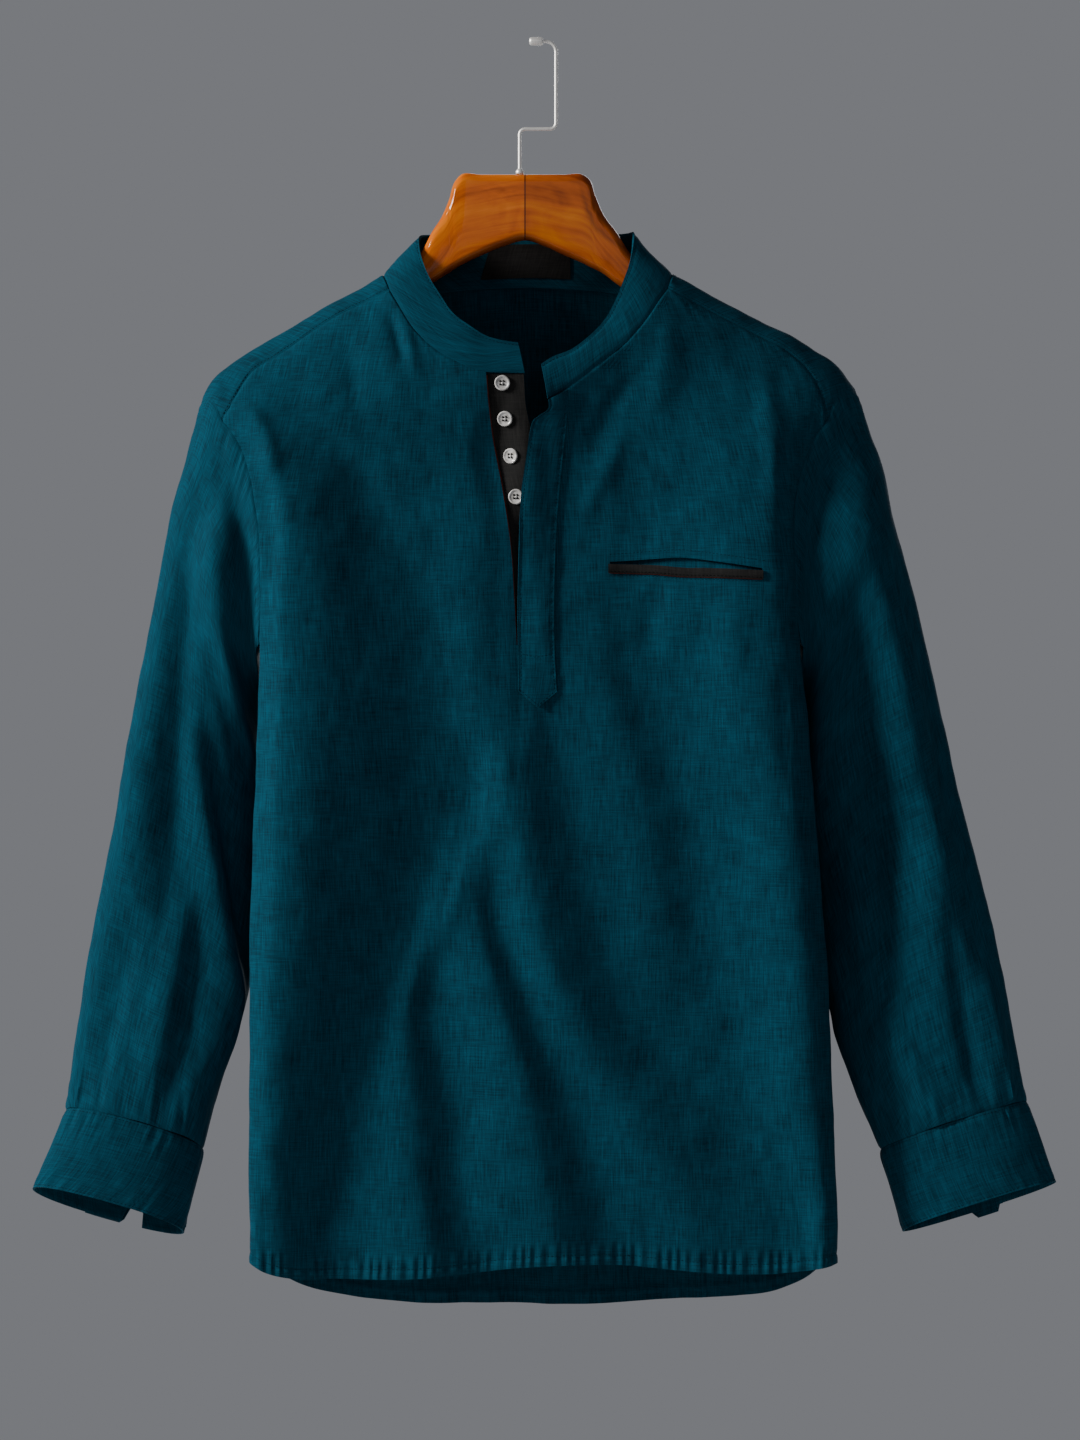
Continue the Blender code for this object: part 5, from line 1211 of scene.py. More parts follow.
# %% [markdown]
# ## Sleeves and cuffs
#
# The sleeve's own relief adds puckers where it is set into the armhole and gathers where the cuff
# holds it. The cuff is an open band, folded double, whose end laps over its start behind the wrist.

# %% Sleeve and cuff pieces
CUFF_ROWS = 26
CUFF_POINTS = 170
CUFF_LAP = 34.0
CUFF_START = 252.0
CUFF_EDGE = 2.0
CLIMB_FROM = 250.0
CLIMB_OVER = 90.0
CLIMB = LAYER + 0.9
# Where the open ends of a band show below the rim, behind. Columns: middle x, half width, drop
CUFF_ENDS = {"left": (-320.5, 6.0, -13.0), "right": (346.5, 8.0, 4.5)}


def cuff_grid(top_row, rim_row, end):
    """The band's rows from sleeve to rim, climbing by a layer where its end laps over its start."""
    degrees = np.linspace(0.0, 360.0 + CUFF_LAP, CUFF_POINTS)
    climb = ease((degrees - CLIMB_FROM) / CLIMB_OVER) * CLIMB
    down = steps(CUFF_ROWS)[:, None]
    points = sections(between(top_row[None], rim_row[None], down), np.radians(CUFF_START + degrees)[None])
    middle, half, drop = end
    behind = ease(-np.sin(np.radians(CUFF_START + degrees)) / 0.3)
    near = behind * ease((half + 1 - np.abs(points[-1, :, 0] - middle)) / 2)
    points += unit(points[-1:] - points[:1]) * drop * (near * down**3)[..., None]
    return points + unit(from_middle(points)) * climb[None, :, None]


sleeves, cuffs = {}, {}
for side, rows, rim, start in (
    ("left", LEFT_SLEEVE, LEFT_CUFF_RIM, 2100.0), ("right", RIGHT_SLEEVE, RIGHT_CUFF_RIM, 2800.0),
):
    sleeve = Panel(*sleeve_nets[side][:2])
    relief = cloth_life(sleeve.net) + sewn(sleeve.up, sleeve.across, 13.0, 0.6, 6.0, 1.9)
    sleeve.raised(relief + sewn(sleeve.from_top, sleeve.across, 12.0, 1.0, 9.0, 0.6))
    girth = float(sleeve.across[:, -1].mean())
    even = np.linspace(0.0, girth, sleeve.net.shape[1])[None] + 0 * sleeve.up
    add_cloth("sleeve_" + side, sleeve, (even + start, -sleeve.up), girth=girth)

    cuff = cuff_grid(between(rows[-1], rim, 0.004), rim, CUFF_ENDS[side])
    cuff = Panel(cuff, turned_away(cuff, outward(cuff)))
    relief = 0.5 * cloth_life(cuff.net) + sewn(cuff.up, cuff.across, 10.0, 0.8, 6.0, 1.1)
    relief += pucker(cuff.from_top, cuff.across, 10.0, 0.6, 5.0, 3.1)
    for distance in (cuff.up, cuff.from_top):
        relief += stitched(distance, cuff.across, CUFF_EDGE, 0.45, 0.9, 0.3, 4.0, 8.0)
    cuff.raised(relief)
    add_cloth("cuff_" + side, cuff, (cuff.across + start, cuff.up + 300), thick=1.6)
    sleeves[side], cuffs[side] = Panel(sleeve.skin, sleeve.out), Panel(cuff.skin, cuff.out)

# %% [markdown]
# ## The half placket
#
# The opening is finished by two strips. The lower one is black and carries the buttons; the upper
# one is cut from the shirt's cloth, ends in a point, and is stitched down in a box at its foot.
# Near the neck its free edge stands off, as it hangs open.

# %% Placket pieces
# From the top down. Columns: left x, left z, right x, right z, and the lift of the free edge
OVER = table(
    (6.2, -280.6, 22, -272.6, 2), (6, -288, 21.4, -284.5, 2.4), (-1.6, -293.6, 20.7, -292, 2.4),
    (-6.9, -300.5, 20, -300.5, 2), (-11.1, -329.7, 17, -330, 1.2), (-16.1, -373.5, 13, -373, 0.6),
    (-17.4, -432, 10.9, -432, 0.2), (-17.2, -471, 11.2, -471, 0), (-16.9, -505.7, 13, -506.5, 0),
)
UNDER = table(
    (-45.6, -260.6, -12.6, -260.6), (-43, -284.7, -11, -284.7), (-40.9, -307.8, -6, -307.8),
    (-34, -345.6, 1, -345.6), (-26.3, -404.3, 9.5, -404.3), (-22, -478, 13.5, -478),
)
OVER_TIP = 12.7
OVER_CROWN = 0.9
BOX_TOP_Z = -479.0
STRIP_ROWS = 150
STRIP_COLUMNS = 24
strip_across = steps(STRIP_COLUMNS)


def strip_grid(rows):
    """A strip's x and z, going up, from a table of its left and right edges, going down."""
    edge = smooth_rows(steps(STRIP_ROWS)[::-1], steps(len(rows) - 1), rows)
    x, z = (between(edge[:, n, None], edge[:, n + 2, None], strip_across) for n in (0, 1))
    return x, z, edge


def on_front(x, z, lift):
    """A panel like front_point, but on the front as it is after its rumple."""
    base = front_point(x, z, lift)
    out = unit(front_point(x, z, lift + 1.0) - base)
    skin = base + out * cloth_life(body_point(x, z, -1))[..., None]
    return Panel(skin, out) if skin.ndim > 2 else (skin, out)


over_x, over_z, over_edge = strip_grid(OVER)
over_z = over_z - OVER_TIP * (1 - np.abs(2 * strip_across - 1)) * steps(STRIP_ROWS)[::-1, None] ** 12
over_lift = LAYER + over_edge[:, 4:5] * (1 - strip_across) ** 1.6
over = on_front(over_x, over_z, over_lift + OVER_CROWN * np.sin(math.pi * strip_across**1.4))
relief = sum(stitched(distance, over.up, SEAM_STITCH, 0.4, 0.8, 0.3, 3.0, 10.0, 0.5) for distance in (
    over.across, over.from_right,
))
over.raised(relief)
add_cloth("placket_over", over, (over.across + 3500, over_z), thick=1.3)

under_x, under_z, _ = strip_grid(UNDER)
under = on_front(under_x, under_z, 0 * under_x - LAYER)
add_cloth("placket_under", under, (under.across, under_z), finish=BLACK, thick=1.2)

piping_z = np.linspace(-478.0, -262.0, 120)[:, None]
piping_x = smooth(piping_z, SLOT_Z, SLOT_LEFT) + (-0.6, 0.9)
add_edging("placket_edge", on_front(piping_x, piping_z + 0 * piping_x, 0 * piping_x + 0.5 - LAYER), 0.4)

# %% [markdown]
# ## Buttons
#
# A button is turned: a flat back, a round rim and a dished face with four holes. The face is a
# polar grid whose height is the profile less a small bell at each hole. A cross of thread goes
# through the holes into the cloth.
# Short black capsules at the holes are painted shade in them.

# %% Button pieces
BUTTON_PLACES = ((-29.2, -267.9), (-27.3, -295.6), (-23.1, -324.1), (-18.6, -355.6))
BUTTON_ACROSS = 12.0
CUFF_BUTTON_ACROSS = 10.5
BUTTON_THICK = 2.4
BUTTON_SIDES = 64
HOLE_OUT = 0.27
HOLE_RADIUS = 0.75
HOLE_DEEP = 1.2
DISH = 0.72
CROSS_REACH = 0.8
# Thread cross and painted hole shade. Columns: name, place on the arm, share of its length, width, finish
CROSS_PARTS = (
    ("thread", 0, 0.62, 0.8, PALE_THREAD), ("hole_shade_low", -1, 0.34, 1.5, BLACK_THREAD_AND_HOLE_SHADE),
    ("hole_shade_high", 1, 0.34, 1.5, BLACK_THREAD_AND_HOLE_SHADE),
)
# Half of the button's outline. Columns: share of the radius, share of the thickness
BUTTON_OUTLINE = table(
    (0.05, 0), (0.5, 0), (0.82, 0), (0.94, 0.12), (1, 0.38), (1, 0.62), (0.97, 0.86), (0.9, 1), (0.83, 1),
    (0.76, 0.86), (0.7, 0.74), (0.62, 0.7), (0.54, 0.69), (0.47, 0.68), (0.4, 0.68), (0.34, 0.68),
    (0.28, 0.67), (0.22, 0.67), (0.16, 0.67), (0.1, 0.67), (0.04, 0.67),
)
SHELL, tree, shader = plain("button_shell", linear(186, 184, 180), 0.28)
veins = noise(tree, node(tree, "TexCoord").outputs["Object"], (260, 260, 260), 2.0, 0.5)
pearl = ramp(tree, veins, (0.35, linear(158, 155, 150)), (0.65, linear(206, 204, 201)))
fill(tree, shader, Base_Color=pearl, Coat_Weight=0.4)


def axes(out):
    """Three directions square to each other: out, one level and one near upright."""
    out = out / np.linalg.norm(out)
    side = unit(np.cross(out, (0.0, 0.0, 1.0) if abs(out[2]) < 0.9 else (0.0, 1.0, 0.0)))
    return out, side, np.cross(side, out)


def rings(count, sides):
    """Numbers of the points of a string of rings, and the quads between neighbouring rings."""
    index = np.arange(count * sides).reshape(count, sides)
    after = np.roll(index, -1, axis=1)
    return index, np.stack([index[:-1], after[:-1], after[1:], index[1:]], axis=-1).reshape(-1, 4)


def closed(points):
    """Points and faces of a closed body from its rings of points, with a lid on either end."""
    index, quads = rings(*points.shape[:2])
    return points.reshape(-1, 3), [*quads.tolist(), index[0][::-1].tolist(), index[-1].tolist()]


def turned(outline, sides, centre, out, holes=False):
    """A body turned round out. outline holds (radius, height) rows in mm."""
    out, side, up = axes(np.asarray(out, float))
    turn = circle(sides)
    radius, height = outline.T[..., None]
    u = radius * np.cos(turn)
    v = radius * np.sin(turn)
    height = height + 0 * u
    if holes:
        reach = HOLE_OUT * outline[:, 0].max()
        for a in math.pi / 4 * np.array([1, 3, 5, 7]):
            apart = np.hypot(u - reach * math.cos(a), v - reach * math.sin(a))
            height -= HOLE_DEEP * np.exp(-((apart / HOLE_RADIUS) ** 4)) * (height > 0.5 * outline[:, 1].max())
    return closed(centre + u[..., None] * side + v[..., None] * up + height[..., None] * out)


# A stitch's four rings. Columns: place along it, width and how far it sinks, as shares
STITCH = table((-0.5, 0.45, -0.5), (-0.28, 1, 0), (0.28, 1, 0), (0.5, 0.45, -0.5))


def stitches(name, path, out, finish=THREAD, pitch=3.0, long=2.3, thick=0.45, slot="teal_linen"):
    """A row of stitches: one short six-sided capsule at each pitch along a path on the cloth."""
    length = lengths(path)
    at = np.arange(pitch / 2, length[-1], pitch)

    def on_path(shift, rows=path):
        return np.stack([np.interp(at + shift * pitch, length, column) for column in rows.T], axis=-1)

    up = unit(on_path(0, out))
    way = unit(on_path(0.4) - on_path(-0.4))
    side = unit(np.cross(way, up))
    turn = circle(6)[:, None]
    forward, fat, sink = STITCH.T[..., None, None]
    points = (
        on_path(0)[:, None, None]
        + forward * long * way[:, None, None]
        + fat * np.cos(turn) * thick / 2 * side[:, None, None]
        + (fat * np.sin(turn) + sink) * thick / 2 * up[:, None, None]
    )
    index, quads = rings(4, 6)
    shift = (index.size * np.arange(len(at)))[:, None, None]
    faces = []
    for part in (quads, index[:1][:, ::-1], index[-1:]):
        faces += (part[None] + shift).reshape(-1, part.shape[1]).tolist()
    made = add("stitch_" + name, points.reshape(-1, 3), faces, finish)
    facing_out(made)


def add_button(name, across, seat, out):
    outline = BUTTON_OUTLINE * (across / 2, BUTTON_THICK)
    made = facing_out(add("shell_" + name, *turned(outline, BUTTON_SIDES, seat, out, holes=True), SHELL))
    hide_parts(name)
    out, side, up = axes(out)
    top = seat + out * (DISH * BUTTON_THICK)
    for number, slant in enumerate((1, -1)):
        arm = (side + slant * up) * (HOLE_OUT * across / 2) * CROSS_REACH
        pitch = float(np.linalg.norm(2 * arm))
        # The pale thread, then black capsules that are painted shade in the holes
        for part, place, share, thick, finish in CROSS_PARTS:
            stitches(
                "%s_%s_%d" % (name, part, number), top + place * arm + table(-arm, arm),
                table(out, out), finish, pitch, pitch * share, thick, "black_linen",
            )


for number, place in enumerate(BUTTON_PLACES, start=1):
    seat, out = on_front(*table(*place)[:, None], np.array([0.1 - LAYER]))
    add_button("button_%d" % number, BUTTON_ACROSS, seat[0], out[0])

# %% [markdown]
# ## Pocket, label and sleeve slits
#
# The pocket is a slit in the front. A black welt edges its lower lip, its upper lip hangs a little
# open, and a facing behind the gap shows as a pocket lining would. The label inside the collar is
# left plain. Each sleeve has a narrow strip that finishes the slit above its cuff.

# %% Pocket, label and slit pieces
WELT_HIGH = 6.8
POCKET_COLUMNS = 60
BELOW_LIP = 0.2


def lip_line(left, right, count, lip=LOWER_LIP_Z):
    """x and z along one of the pocket's lips."""
    x = np.linspace(left, right, count)
    return x, smooth(x, POCKET_X, lip)


def add_trim(name, x, z, lift, finish, flat_shift):
    """A strip on or behind the front, from x, z and lift."""
    panel = on_front(*(grid.copy() for grid in np.broadcast_arrays(x, z, lift)))
    add_cloth(name, panel, (panel.across + flat_shift, panel.up), finish=finish, thick=1.2)


lip_x, lip_z = lip_line(POCKET_LEFT - 1.0, POCKET_RIGHT + 1.0, POCKET_COLUMNS + 1)
rise = steps(8)[:, None]
welt_z = lip_z - BELOW_LIP - WELT_HIGH * (1 - rise)
add_trim("pocket_welt", lip_x, welt_z, 1.6 + 0.5 * np.sin(math.pi * rise), BLACK, 4000.0)
facing_z = table(-14, -10, -6, -3, 0, 3, 5, 8, 11)[:, None]
facing_lift = -smooth(facing_z, (-14, -3, 5, 11), (2.2, 3.2, 3.2, 2.2))
add_trim("pocket_facing", lip_x, lip_z + facing_z, facing_lift, TEAL, 4300.0)
edge_x, edge_z = lip_line(POCKET_LEFT, POCKET_RIGHT, 60)
edge_z = edge_z - BELOW_LIP - WELT_HIGH + table(-0.5, 0.3)[:, None]
add_edging("welt_edge", on_front(edge_x + 0 * edge_z, edge_z, 0 * edge_z + 1.0), 0.5)


def on_grid(grid, rows, columns):
    """Points at fractional rows and columns of a grid, straight between its points."""
    row = np.clip(np.floor(rows).astype(int), 0, grid.shape[0] - 2)
    column = np.clip(np.floor(columns).astype(int), 0, grid.shape[1] - 2)
    a = (rows - row)[..., None]
    b = (columns - column)[..., None]
    low = between(grid[row, column], grid[row, column + 1], b)
    high = between(grid[row + 1, column], grid[row + 1, column + 1], b)
    return between(low, high, a)


def laid_on(panel, rows, columns, lift, inside=0.0):
    """A panel laid on another at fractional rows and columns; inside is the other's thickness."""
    out = unit(on_grid(panel.out, rows, columns)) * (-1 if inside else 1)
    return Panel(on_grid(panel.skin - panel.out * inside, rows, columns) + out * lift, out)


LABEL_LEFT = -43.0
LABEL_RIGHT = 24.0
LABEL_LOW = 0.18
LABEL_TOP = 0.82
LABEL_GRID = (12, 40)
round_columns = np.arange(round_neck.start, round_neck.stop)
mid_row = collar.skin[COLLAR_ROWS // 2, round_columns, 0]
order = np.argsort(mid_row)
label_x = np.linspace(LABEL_LEFT, LABEL_RIGHT, LABEL_GRID[1])
label_columns = np.interp(label_x, mid_row[order], round_columns[order])
label_rows = np.linspace(LABEL_LOW, LABEL_TOP, LABEL_GRID[0])[:, None] * COLLAR_ROWS + 0 * label_columns
label = laid_on(collar, label_rows, label_columns + 0 * label_rows, 0.9, COLLAR_THICK)
facing_out(add_cloth("neck_label", label, (label.across, label.up + 900), finish=BLACK, thick=0.6))

SLIT_FROM = SLEEVE_ROWS * 0.80
SLIT_TURN = 262.0
SLIT_WIDE = 22.0
SLIT_TIP = 2.2
SLIT_GRID = (46, 15)
for side, cuff in cuffs.items():
    sleeve = sleeves[side]
    wrapped = Panel(*(np.concatenate([grid, grid[:, :1]], axis=1) for grid in (sleeve.skin, sleeve.out)))
    turns = sleeve_nets[side][2]
    degrees = np.degrees(np.append(turns, turns[0] + 2 * np.pi))
    mid_column = np.interp(SLIT_TURN, degrees, np.arange(len(degrees)))
    near = int(mid_column)
    half = SLIT_WIDE / 2 / np.linalg.norm(wrapped.skin[-1, near + 1] - wrapped.skin[-1, near])
    rows = np.linspace(SLIT_FROM, SLEEVE_ROWS - 0.5, SLIT_GRID[0])[:, None]
    share = np.linspace(-1.0, 1.0, SLIT_GRID[1])[None]
    slit_columns = mid_column + share * half + 0 * rows
    rows = rows - SLIT_TIP * (1 - np.abs(share)) * ease(1 - (rows - SLIT_FROM) / 3)
    slit = laid_on(wrapped, rows, slit_columns, 1.6)
    facing_out(add_cloth("sleeve_placket_" + side, slit, (slit.across + 4600, slit.up), thick=1.1))

    lap_column = (CUFF_POINTS - 1) * (360.0 + CUFF_LAP * 0.5) / (360.0 + CUFF_LAP)
    spot = (np.array([CUFF_ROWS * 0.5]), np.array([lap_column]))
    way = unit(on_grid(cuff.out, *spot))[0]
    add_button("cuff_button_" + side, CUFF_BUTTON_ACROSS, on_grid(cuff.skin, *spot)[0] + way * 0.3, way)

# %% [markdown]
# ## Stitches
#
# A seam is read from its stitches as much as from its groove. Each row follows a line at a steady
# distance from an edge, found by walking up every column of the piece's grid.

# %% Rows of stitches
def line_up(skin, out, up, distance):
    """The line at one distance up a grid's columns, and the normals along it."""
    row = np.clip((up < distance).sum(axis=0) - 1, 0, up.shape[0] - 2)
    column = np.arange(up.shape[1])
    gap = np.maximum(up[row + 1, column] - up[row, column], 1e-6)
    t = ((distance - up[row, column]) / gap)[:, None]
    return tuple(between(grid[row, column], grid[row + 1, column], t) for grid in (skin, out))


def line_down(skin, out, up, distance):
    return line_up(skin[::-1], out[::-1], up[-1:] - up[::-1], distance)


def grids_of(panel, part=slice(None)):
    return panel.skin[:, part], panel.out[:, part], panel.up[:, part]


def sideways(panel):
    """A panel's grids with rows and columns exchanged, so that a line can run up its side."""
    return [np.swapaxes(grid, 0, 1) for grid in (panel.skin, panel.out, panel.across)]


stitches("front_hem", *line_up(*grids_of(front), FRONT_HEM_DEEP))
stitches("back_hem", *line_up(*grids_of(back), BACK_HEM_DEEP))
stitches("yoke_back", *line_down(*grids_of(yoke), SEAM_STITCH))
stitches("yoke_left", *line_up(*grids_of(yoke, slice(0, SEAM_COLUMNS + 1)), SEAM_STITCH))
stitches("yoke_right", *line_up(*grids_of(yoke, slice(-SEAM_COLUMNS - 1, None)), SEAM_STITCH))
collar_line, line_out = line_down(*grids_of(collar), COLLAR_EDGE)
stitches("collar_outside", collar_line, line_out)
stitches("collar_inside", collar_line - line_out * COLLAR_THICK, -line_out)
for side, cuff in cuffs.items():
    stitches("cuff_top_" + side, *line_up(*grids_of(cuff), CUFF_EDGE))
    stitches("cuff_rim_" + side, *line_down(*grids_of(cuff), CUFF_EDGE))

over = Panel(over.skin, over.out)
stitches("placket_left", *line_up(*sideways(over), SEAM_STITCH))
stitches("placket_right", *line_down(*sideways(over), SEAM_STITCH))
stitches("placket_foot", *line_up(*grids_of(over), SEAM_STITCH))
box_row = int(np.argmin(np.abs(over_z[:, STRIP_COLUMNS // 2] - BOX_TOP_Z)))
stitches("placket_box", over.skin[box_row, 2:-2], over.out[box_row, 2:-2])
for name, lip, shift, lift, finish, slot in (
    ("pocket_upper", UPPER_LIP_Z, 6.0, 0.0, THREAD, "teal_linen"),
    ("pocket_lower", LOWER_LIP_Z, -WELT_HIGH - 2.0, 0.0, THREAD, "teal_linen"),
    ("pocket_welt", LOWER_LIP_Z, -WELT_HIGH + 1.0, 2.1, BLACK_THREAD_AND_HOLE_SHADE, "black_linen"),
):
    x, z = lip_line(POCKET_LEFT - 1.0, POCKET_RIGHT + 1.0, 50, lip)
    stitches(name, *on_front(x, z + shift, 0 * x + lift), finish=finish, slot=slot)

# %% [markdown]
# ## The hanger
#
# The bar is one curved piece of wood with a seam where its two halves are glued, varnished so that
# its rounded edges shine. It is a string of rounded rectangles between an upper and a lower edge.
# The grain runs along it, so the bar keeps its own coordinates: the way along, across and up.

# %% Wooden bar
# The bar's upper and lower edge. Columns: x, top z, low z
WOOD = table(
    (-233, -266, -272), (-231, -257, -278), (-222, -246.6, -276), (-205, -235.5, -264), (-160, -208, -236),
    (-126, -192.5, -216), (-115, -188, -208.5), (-106, -179, -202.5), (-99, -171, -197.5),
    (-92, -162, -193), (-84, -147, -187.5), (-77, -136.3, -183), (-71, -122.5, -179.2), (-66, -107.5, -176),
    (-62, -103, -173.6), (-45.2, -102.6, -165.4), (-28, -102.6, -158.4), (-10.9, -102.6, -154),
    (4, -102.6, -158.6), (18.7, -102.6, -165.4), (34, -102.9, -172), (38.6, -106.5, -174.4),
    (43, -118.5, -176.6), (50.3, -135, -180.5), (60, -148, -188), (70, -163.5, -194), (84, -177, -202),
    (96, -188.5, -208.5), (106, -193.5, -214), (136, -205, -230), (173, -224.5, -249),
    (196, -236.5, -261.5), (206, -245, -267.5), (210, -254, -262),
)
WOOD_THICK = 15.0
WOOD_CORNER = 9.0
END_ROUND = 3.0
END_THIN = 0.62
END_TAPER = 40.0
WOOD_STATIONS = 320
WOOD_SIDES = 56
SEAM_X = -11.7
GLUE_HALF = 0.0005
# Dark lines of the grain, as arcs in metres. Middle x and z, radii, half width, wander
ARC_X, ARC_Z, ARC_RADII, ARC_HALF, ARC_WANDER = 0.097, -0.103, (0.058, 0.065), 0.0032, 0.014
ARC_FROM_Z, ARC_FULL_Z = -0.106, -0.128
WOOD_STOPS = ((0.33, linear(126, 50, 2)), (0.5, linear(186, 88, 10)), (0.68, linear(212, 118, 22)))
# SHADED_WOOD is painted shade, laid on the bar's right half and on its underside.
SHADED_WOOD, GLUE_LINE, DARK_GRAIN = linear(84, 34, 4), linear(70, 28, 6), linear(74, 28, 3)


def wood_material():
    """Varnished wood: long grain from stretched noise, a dark glue line, painted shade, and a clear coat."""
    made, tree, shader = plain("varnished_wood_bar", linear(150, 70, 18), 0.32, specular=0.0)
    grain = attribute(tree, "grain", "Vector")
    place = node(tree, "TexCoord").outputs["Object"]
    lines = noise(tree, grain, (9, 70, 150), 6.0, distortion=0.4)
    clouds = noise(tree, grain, (16, 24, 34), 3.0, distortion=1.2)
    tone = plus(tree, times(tree, lines, 0.5), times(tree, clouds, 0.5))
    colour = ramp(tree, tone, *WOOD_STOPS)
    x, _, z = node(tree, "SeparateXYZ", Vector=place).outputs
    past_seam = plus(tree, x, -SEAM_X * MM)
    glue = math_node(tree, "LESS_THAN", math_node(tree, "ABSOLUTE", past_seam), GLUE_HALF)
    # Painted shade on the right half past the glue seam and on the underside; the glue line is a real dark
    # joint.
    marks = [
        (times(tree, math_node(tree, "GREATER_THAN", past_seam, 0.0), 0.25), SHADED_WOOD),
        (glue, GLUE_LINE),
        (times(tree, attribute(tree, "underside_shade", "Fac"), 0.75), SHADED_WOOD),
    ]
    wander = times(tree, plus(tree, noise(tree, place, (30, 30, 30), 2.0), -0.5), ARC_WANDER)
    low_part = ranged(tree, z, ARC_FROM_Z, ARC_FULL_Z, 0.0, 1.0)
    over, above = plus(tree, x, -ARC_X), plus(tree, z, -ARC_Z)
    far = math_node(tree, "SQRT", plus(tree, *(math_node(tree, "POWER", way, 2.0) for way in (over, above))))
    for radius in ARC_RADII:
        off = math_node(tree, "ABSOLUTE", plus(tree, plus(tree, far, -radius), wander))
        share = times(tree, ranged(tree, off, 0.0, ARC_HALF, 0.5, 0.0), low_part)
        marks.append((share, DARK_GRAIN))
    for share, mark in marks:
        mix = node(tree, "Mix")
        mix.data_type = "RGBA"
        for socket, value in ((0, share), (6, colour), (7, mark)):
            feed(tree, mix.inputs[socket], value)
        colour = mix.outputs[2]
    fill(tree, shader, Base_Color=colour, Coat_Weight=0.4, Coat_Roughness=0.07)
    return made


def wood_body():
    """Rings of the bar and, for each point, its way along, across and up, and painted shade: 1 facing down.
    """
    length = lengths(WOOD[:, :2])
    at = np.linspace(0.0, length[-1], WOOD_STATIONS)
    x, top, low = smooth_rows(at, length, WOOD).T[..., None]
    to_end = np.minimum(at, length[-1] - at)[:, None]
    rounded = np.sqrt(np.clip(to_end / END_ROUND, 0.02, 1.0))
    half_high = (top - low) / 2 * rounded
    half_deep = WOOD_THICK / 2 * np.minimum(1.0, END_THIN + to_end / END_TAPER) * rounded
    corner = np.minimum(WOOD_CORNER, 0.9 * np.minimum(half_high, half_deep))
    lean = np.sqrt(1 + np.clip(np.gradient(top[:, 0]) / np.gradient(x[:, 0]), -3.0, 3.0) ** 2)[:, None]
    turn = (np.arange(WOOD_SIDES)[None] + 0.5) * 2 * np.pi / WOOD_SIDES
    c, s = np.cos(turn), np.sin(turn)
    upper = np.minimum(corner * np.where(s > 0, lean, 1.0), 0.9 * half_high)
    y = np.sign(c) * (half_deep - corner) + corner * c
    up = np.sign(s) * (half_high - upper) + upper * s
    grain = np.stack([at[:, None] + 0 * up, y, up], axis=-1) * MM
    # Painted shade under the bar: full on the faces that look down.
    underside_shade = np.clip(-1.4 * s - 0.2 + 0 * up, 0.0, 1.0)
    return np.stack([x + 0 * up, y, (top + low) / 2 + up], axis=-1), grain, underside_shade


points, grain, underside_shade = wood_body()
bar = facing_out(add("hanger_bar", *closed(points), wood_material()))
keep_with_points(bar, "grain", "FLOAT_VECTOR", grain)
keep_with_points(bar, "underside_shade", "FLOAT", underside_shade)
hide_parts("hanger_wood")

# %% [markdown]
# ## The hook
#
# The hook is one bent wire: straight up out of a ferrule, a jog to the side, and a round top that
# ends in a cap. Bends are arcs between straight runs, and the wire is a tube along that line.

# %% Hook
WIRE_ACROSS = 2.8
WIRE_X = -15.8
WIRE_TOP_X = 12.5
JOG_Z = -67.0
TOP_RUN_Z = 1.4
CAP_X = 2.6
WOOD_TOP = -102.6
STEEL, tree, shader = plain("satin_steel_wire", linear(240, 237, 232), 0.27, 0.8)
brushed = noise(tree, node(tree, "TexCoord").outputs["Object"], (900, 900, 900), 2.0, 0.5)
fill(tree, shader, Roughness=ranged(tree, brushed, 0.3, 0.7, 0.42, 0.52))


def round_corner(before, corner, after, radius, count=16):
    """Points round a bend between two straight runs in the XZ plane."""
    before, corner, after = table(before, corner, after)
    a = unit(before - corner)
    b = unit(after - corner)
    half = math.acos(float(np.clip(a @ b, -1, 1))) / 2
    centre = corner + unit(a + b) * radius / math.sin(half)
    start = corner + a * radius / math.tan(half) - centre
    end = corner + b * radius / math.tan(half) - centre
    sweep = math.pi - 2 * half
    t = steps(count)[:, None]
    return centre + (start * np.sin((1 - t) * sweep) + end * np.sin(t * sweep)) / math.sin(sweep)


def tube(path, radius, sides=28):
    """A round tube along a line of (x, z) points."""
    way = unit(np.gradient(path, axis=0))
    level = np.zeros(len(path))
    side = np.stack([-way[:, 1], level, way[:, 0]], axis=-1)[:, None]
    turn = circle(sides)[None, :, None]
    middle = np.stack([path[:, 0], level, path[:, 1]], axis=-1)[:, None]
    return closed(middle + radius * (np.cos(turn) * side + np.sin(turn) * (0.0, 1.0, 0.0)))


FERRULE = table(
    (0.3, 0), (2.9, 0), (3.2, 0.3), (3.2, 2.3), (3, 2.7), (2.4, 3.5), (2.1, 4), (1.9, 4.2), (0.3, 4.2),
)
CAP = table(
    (0.3, 0), (2.2, 0), (2.7, 0.15), (3.1, 0.5), (3.3, 1.1), (3.3, 5), (3.3, 8.6), (3.1, 9.6), (2.6, 10.3),
    (1.8, 10.7), (0.3, 10.8),
)
foot, first_bend = (WIRE_X, WOOD_TOP + 4.6), (WIRE_X, JOG_Z)
second_bend, top_bend, cap_end = (WIRE_TOP_X, JOG_Z), (WIRE_TOP_X, TOP_RUN_Z), (CAP_X, TOP_RUN_Z)
wire_path = np.concatenate([
    [foot],
    round_corner(foot, first_bend, second_bend, 4.5),
    round_corner(first_bend, second_bend, top_bend, 4.5),
    round_corner(second_bend, top_bend, cap_end, 8.5, 24),
    [cap_end],
])
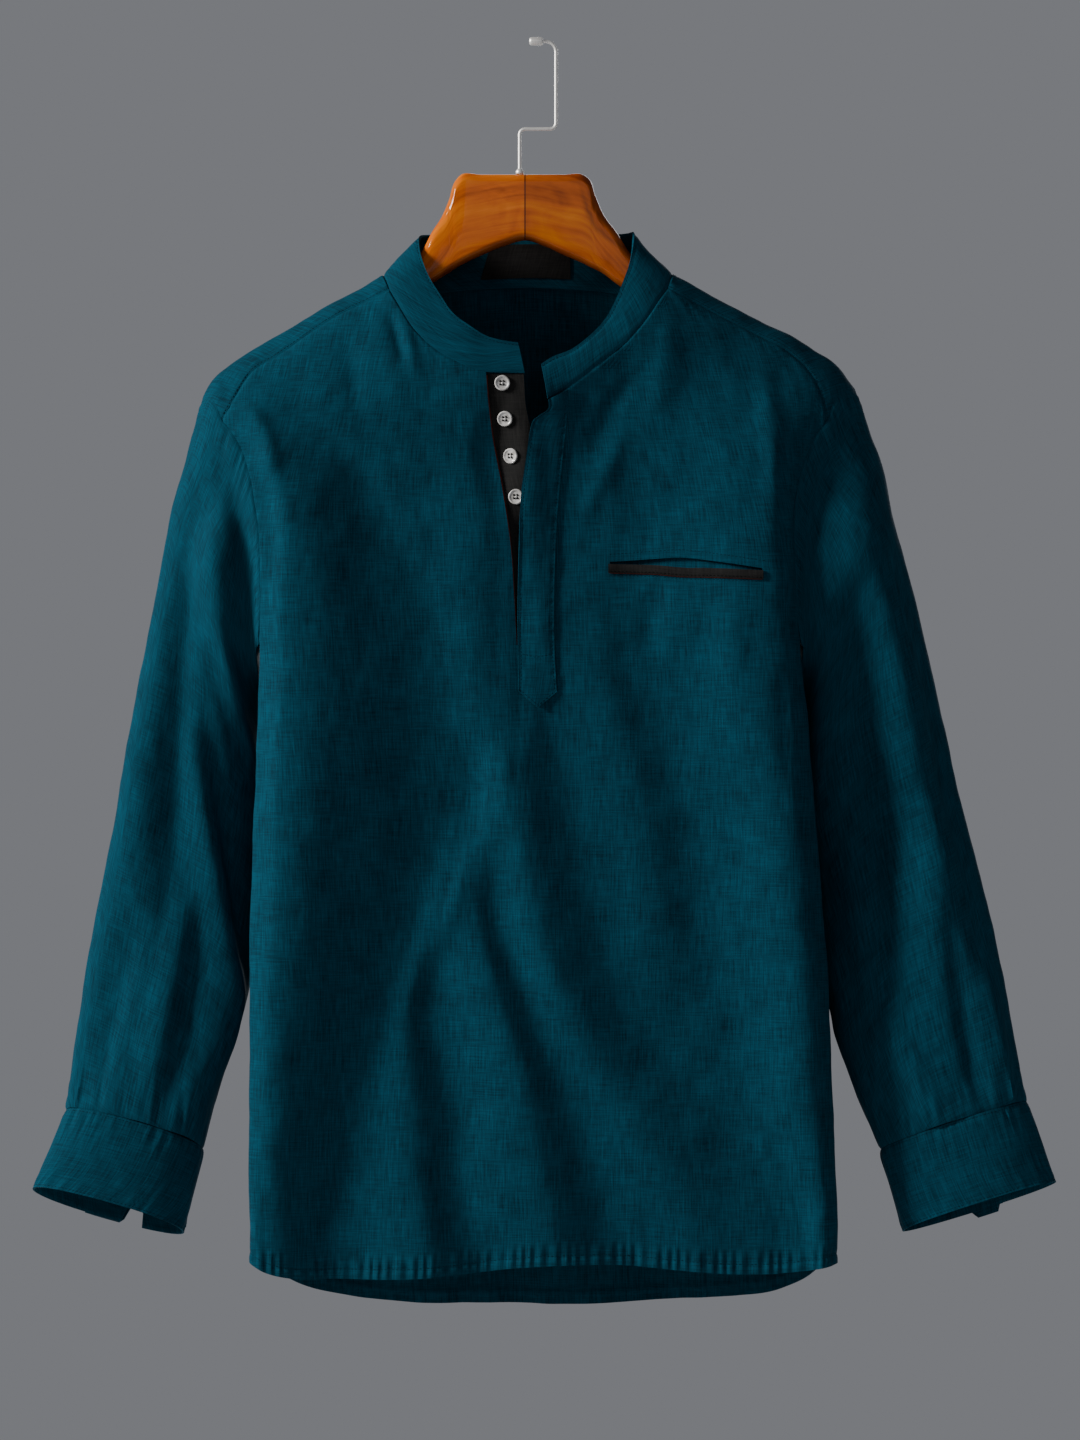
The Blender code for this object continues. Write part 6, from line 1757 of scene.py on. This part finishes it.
for name, cad_name, body in (
    ("hook_tube", "hook_wire", tube(wire_path, WIRE_ACROSS / 2)),
    ("hook_collar", "hook_ferrule", turned(FERRULE, 48, (WIRE_X, 0.0, WOOD_TOP + 0.3), (0, 0, 1))),
    ("hook_end", "hook_cap", turned(CAP, 48, (CAP_X - 0.3, 0.0, TOP_RUN_Z), (-1, 0, 0))),
):
    made = facing_out(add(name, *body, STEEL))
    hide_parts(cad_name)
print("hook of", len(wire_path), "rings")

# %% [markdown]
# ## Cloth sizes
#
# Each cloth piece prints its own area as it is made, measured on its grid.

# %% [markdown]
# ## Camera, light and floor
#
# The camera stands level with the middle of the shirt, four metres off, with a long lens. One
# strong light stands high on the left, so the left side of each wave is bright. A faint light near
# the camera fills the shadows, one behind lights the back, and the room does the rest.

# %% Camera, light and floor
LOOK_Z = -0.528
AIM = (0.0, 0.0, -0.5)
scene = bpy.context.scene


def placed(name, data):
    made = bpy.data.objects.new(name, data)
    scene.collection.objects.link(made)
    return made


camera_data = bpy.data.cameras.new("camera")
camera_data.sensor_fit = "VERTICAL"
camera_data.sensor_height = 36.0
camera_data.lens = 128.2
camera = placed("camera", camera_data)
camera.location = (0.0, -4.0, LOOK_Z)
camera.rotation_euler = (math.pi / 2, 0.0, 0.0)
scene.camera = camera

for name, place, wide, power, colour in (
    ("key", (-3.69, -1.06, 1.21), 1.0, 300.0, (1.0, 0.985, 0.96)),
    ("fill", (0.6, -4.2, 0.6), 1.6, 6.0, (0.95, 0.97, 1.0)),
    ("rear", (0.9, 3.8, 0.4), 2.0, 60.0, (1.0, 1.0, 1.0)),
):
    data = bpy.data.lights.new(name, "AREA")
    data.size = wide
    data.energy = power
    data.color = colour
    light = placed(name, data)
    light.location = place
    light.rotation_euler = (Vector(AIM) - Vector(place)).to_track_quat("-Z", "Y").to_euler()

world = bpy.data.worlds.new("room")
world.use_nodes = True
room = world.node_tree
fill(room, room.nodes["Background"], Color=(0.185, 0.19, 0.205, 1.0), Strength=1.0)
scene.world = world
FLOOR_WIDE = 1.7
FLOOR_Z = -1.35
floor_corners = [(x * FLOOR_WIDE, y * FLOOR_WIDE, FLOOR_Z) for x, y in ((-1, -1), (1, -1), (1, 1), (-1, 1))]
floor_mesh = bpy.data.meshes.new("floor")
floor_mesh.from_pydata(floor_corners, [], [(0, 1, 2, 3)])
floor_mesh.materials.append(plain("pale_floor", linear(190, 191, 194), 0.9)[0])
floor = placed("floor", floor_mesh)
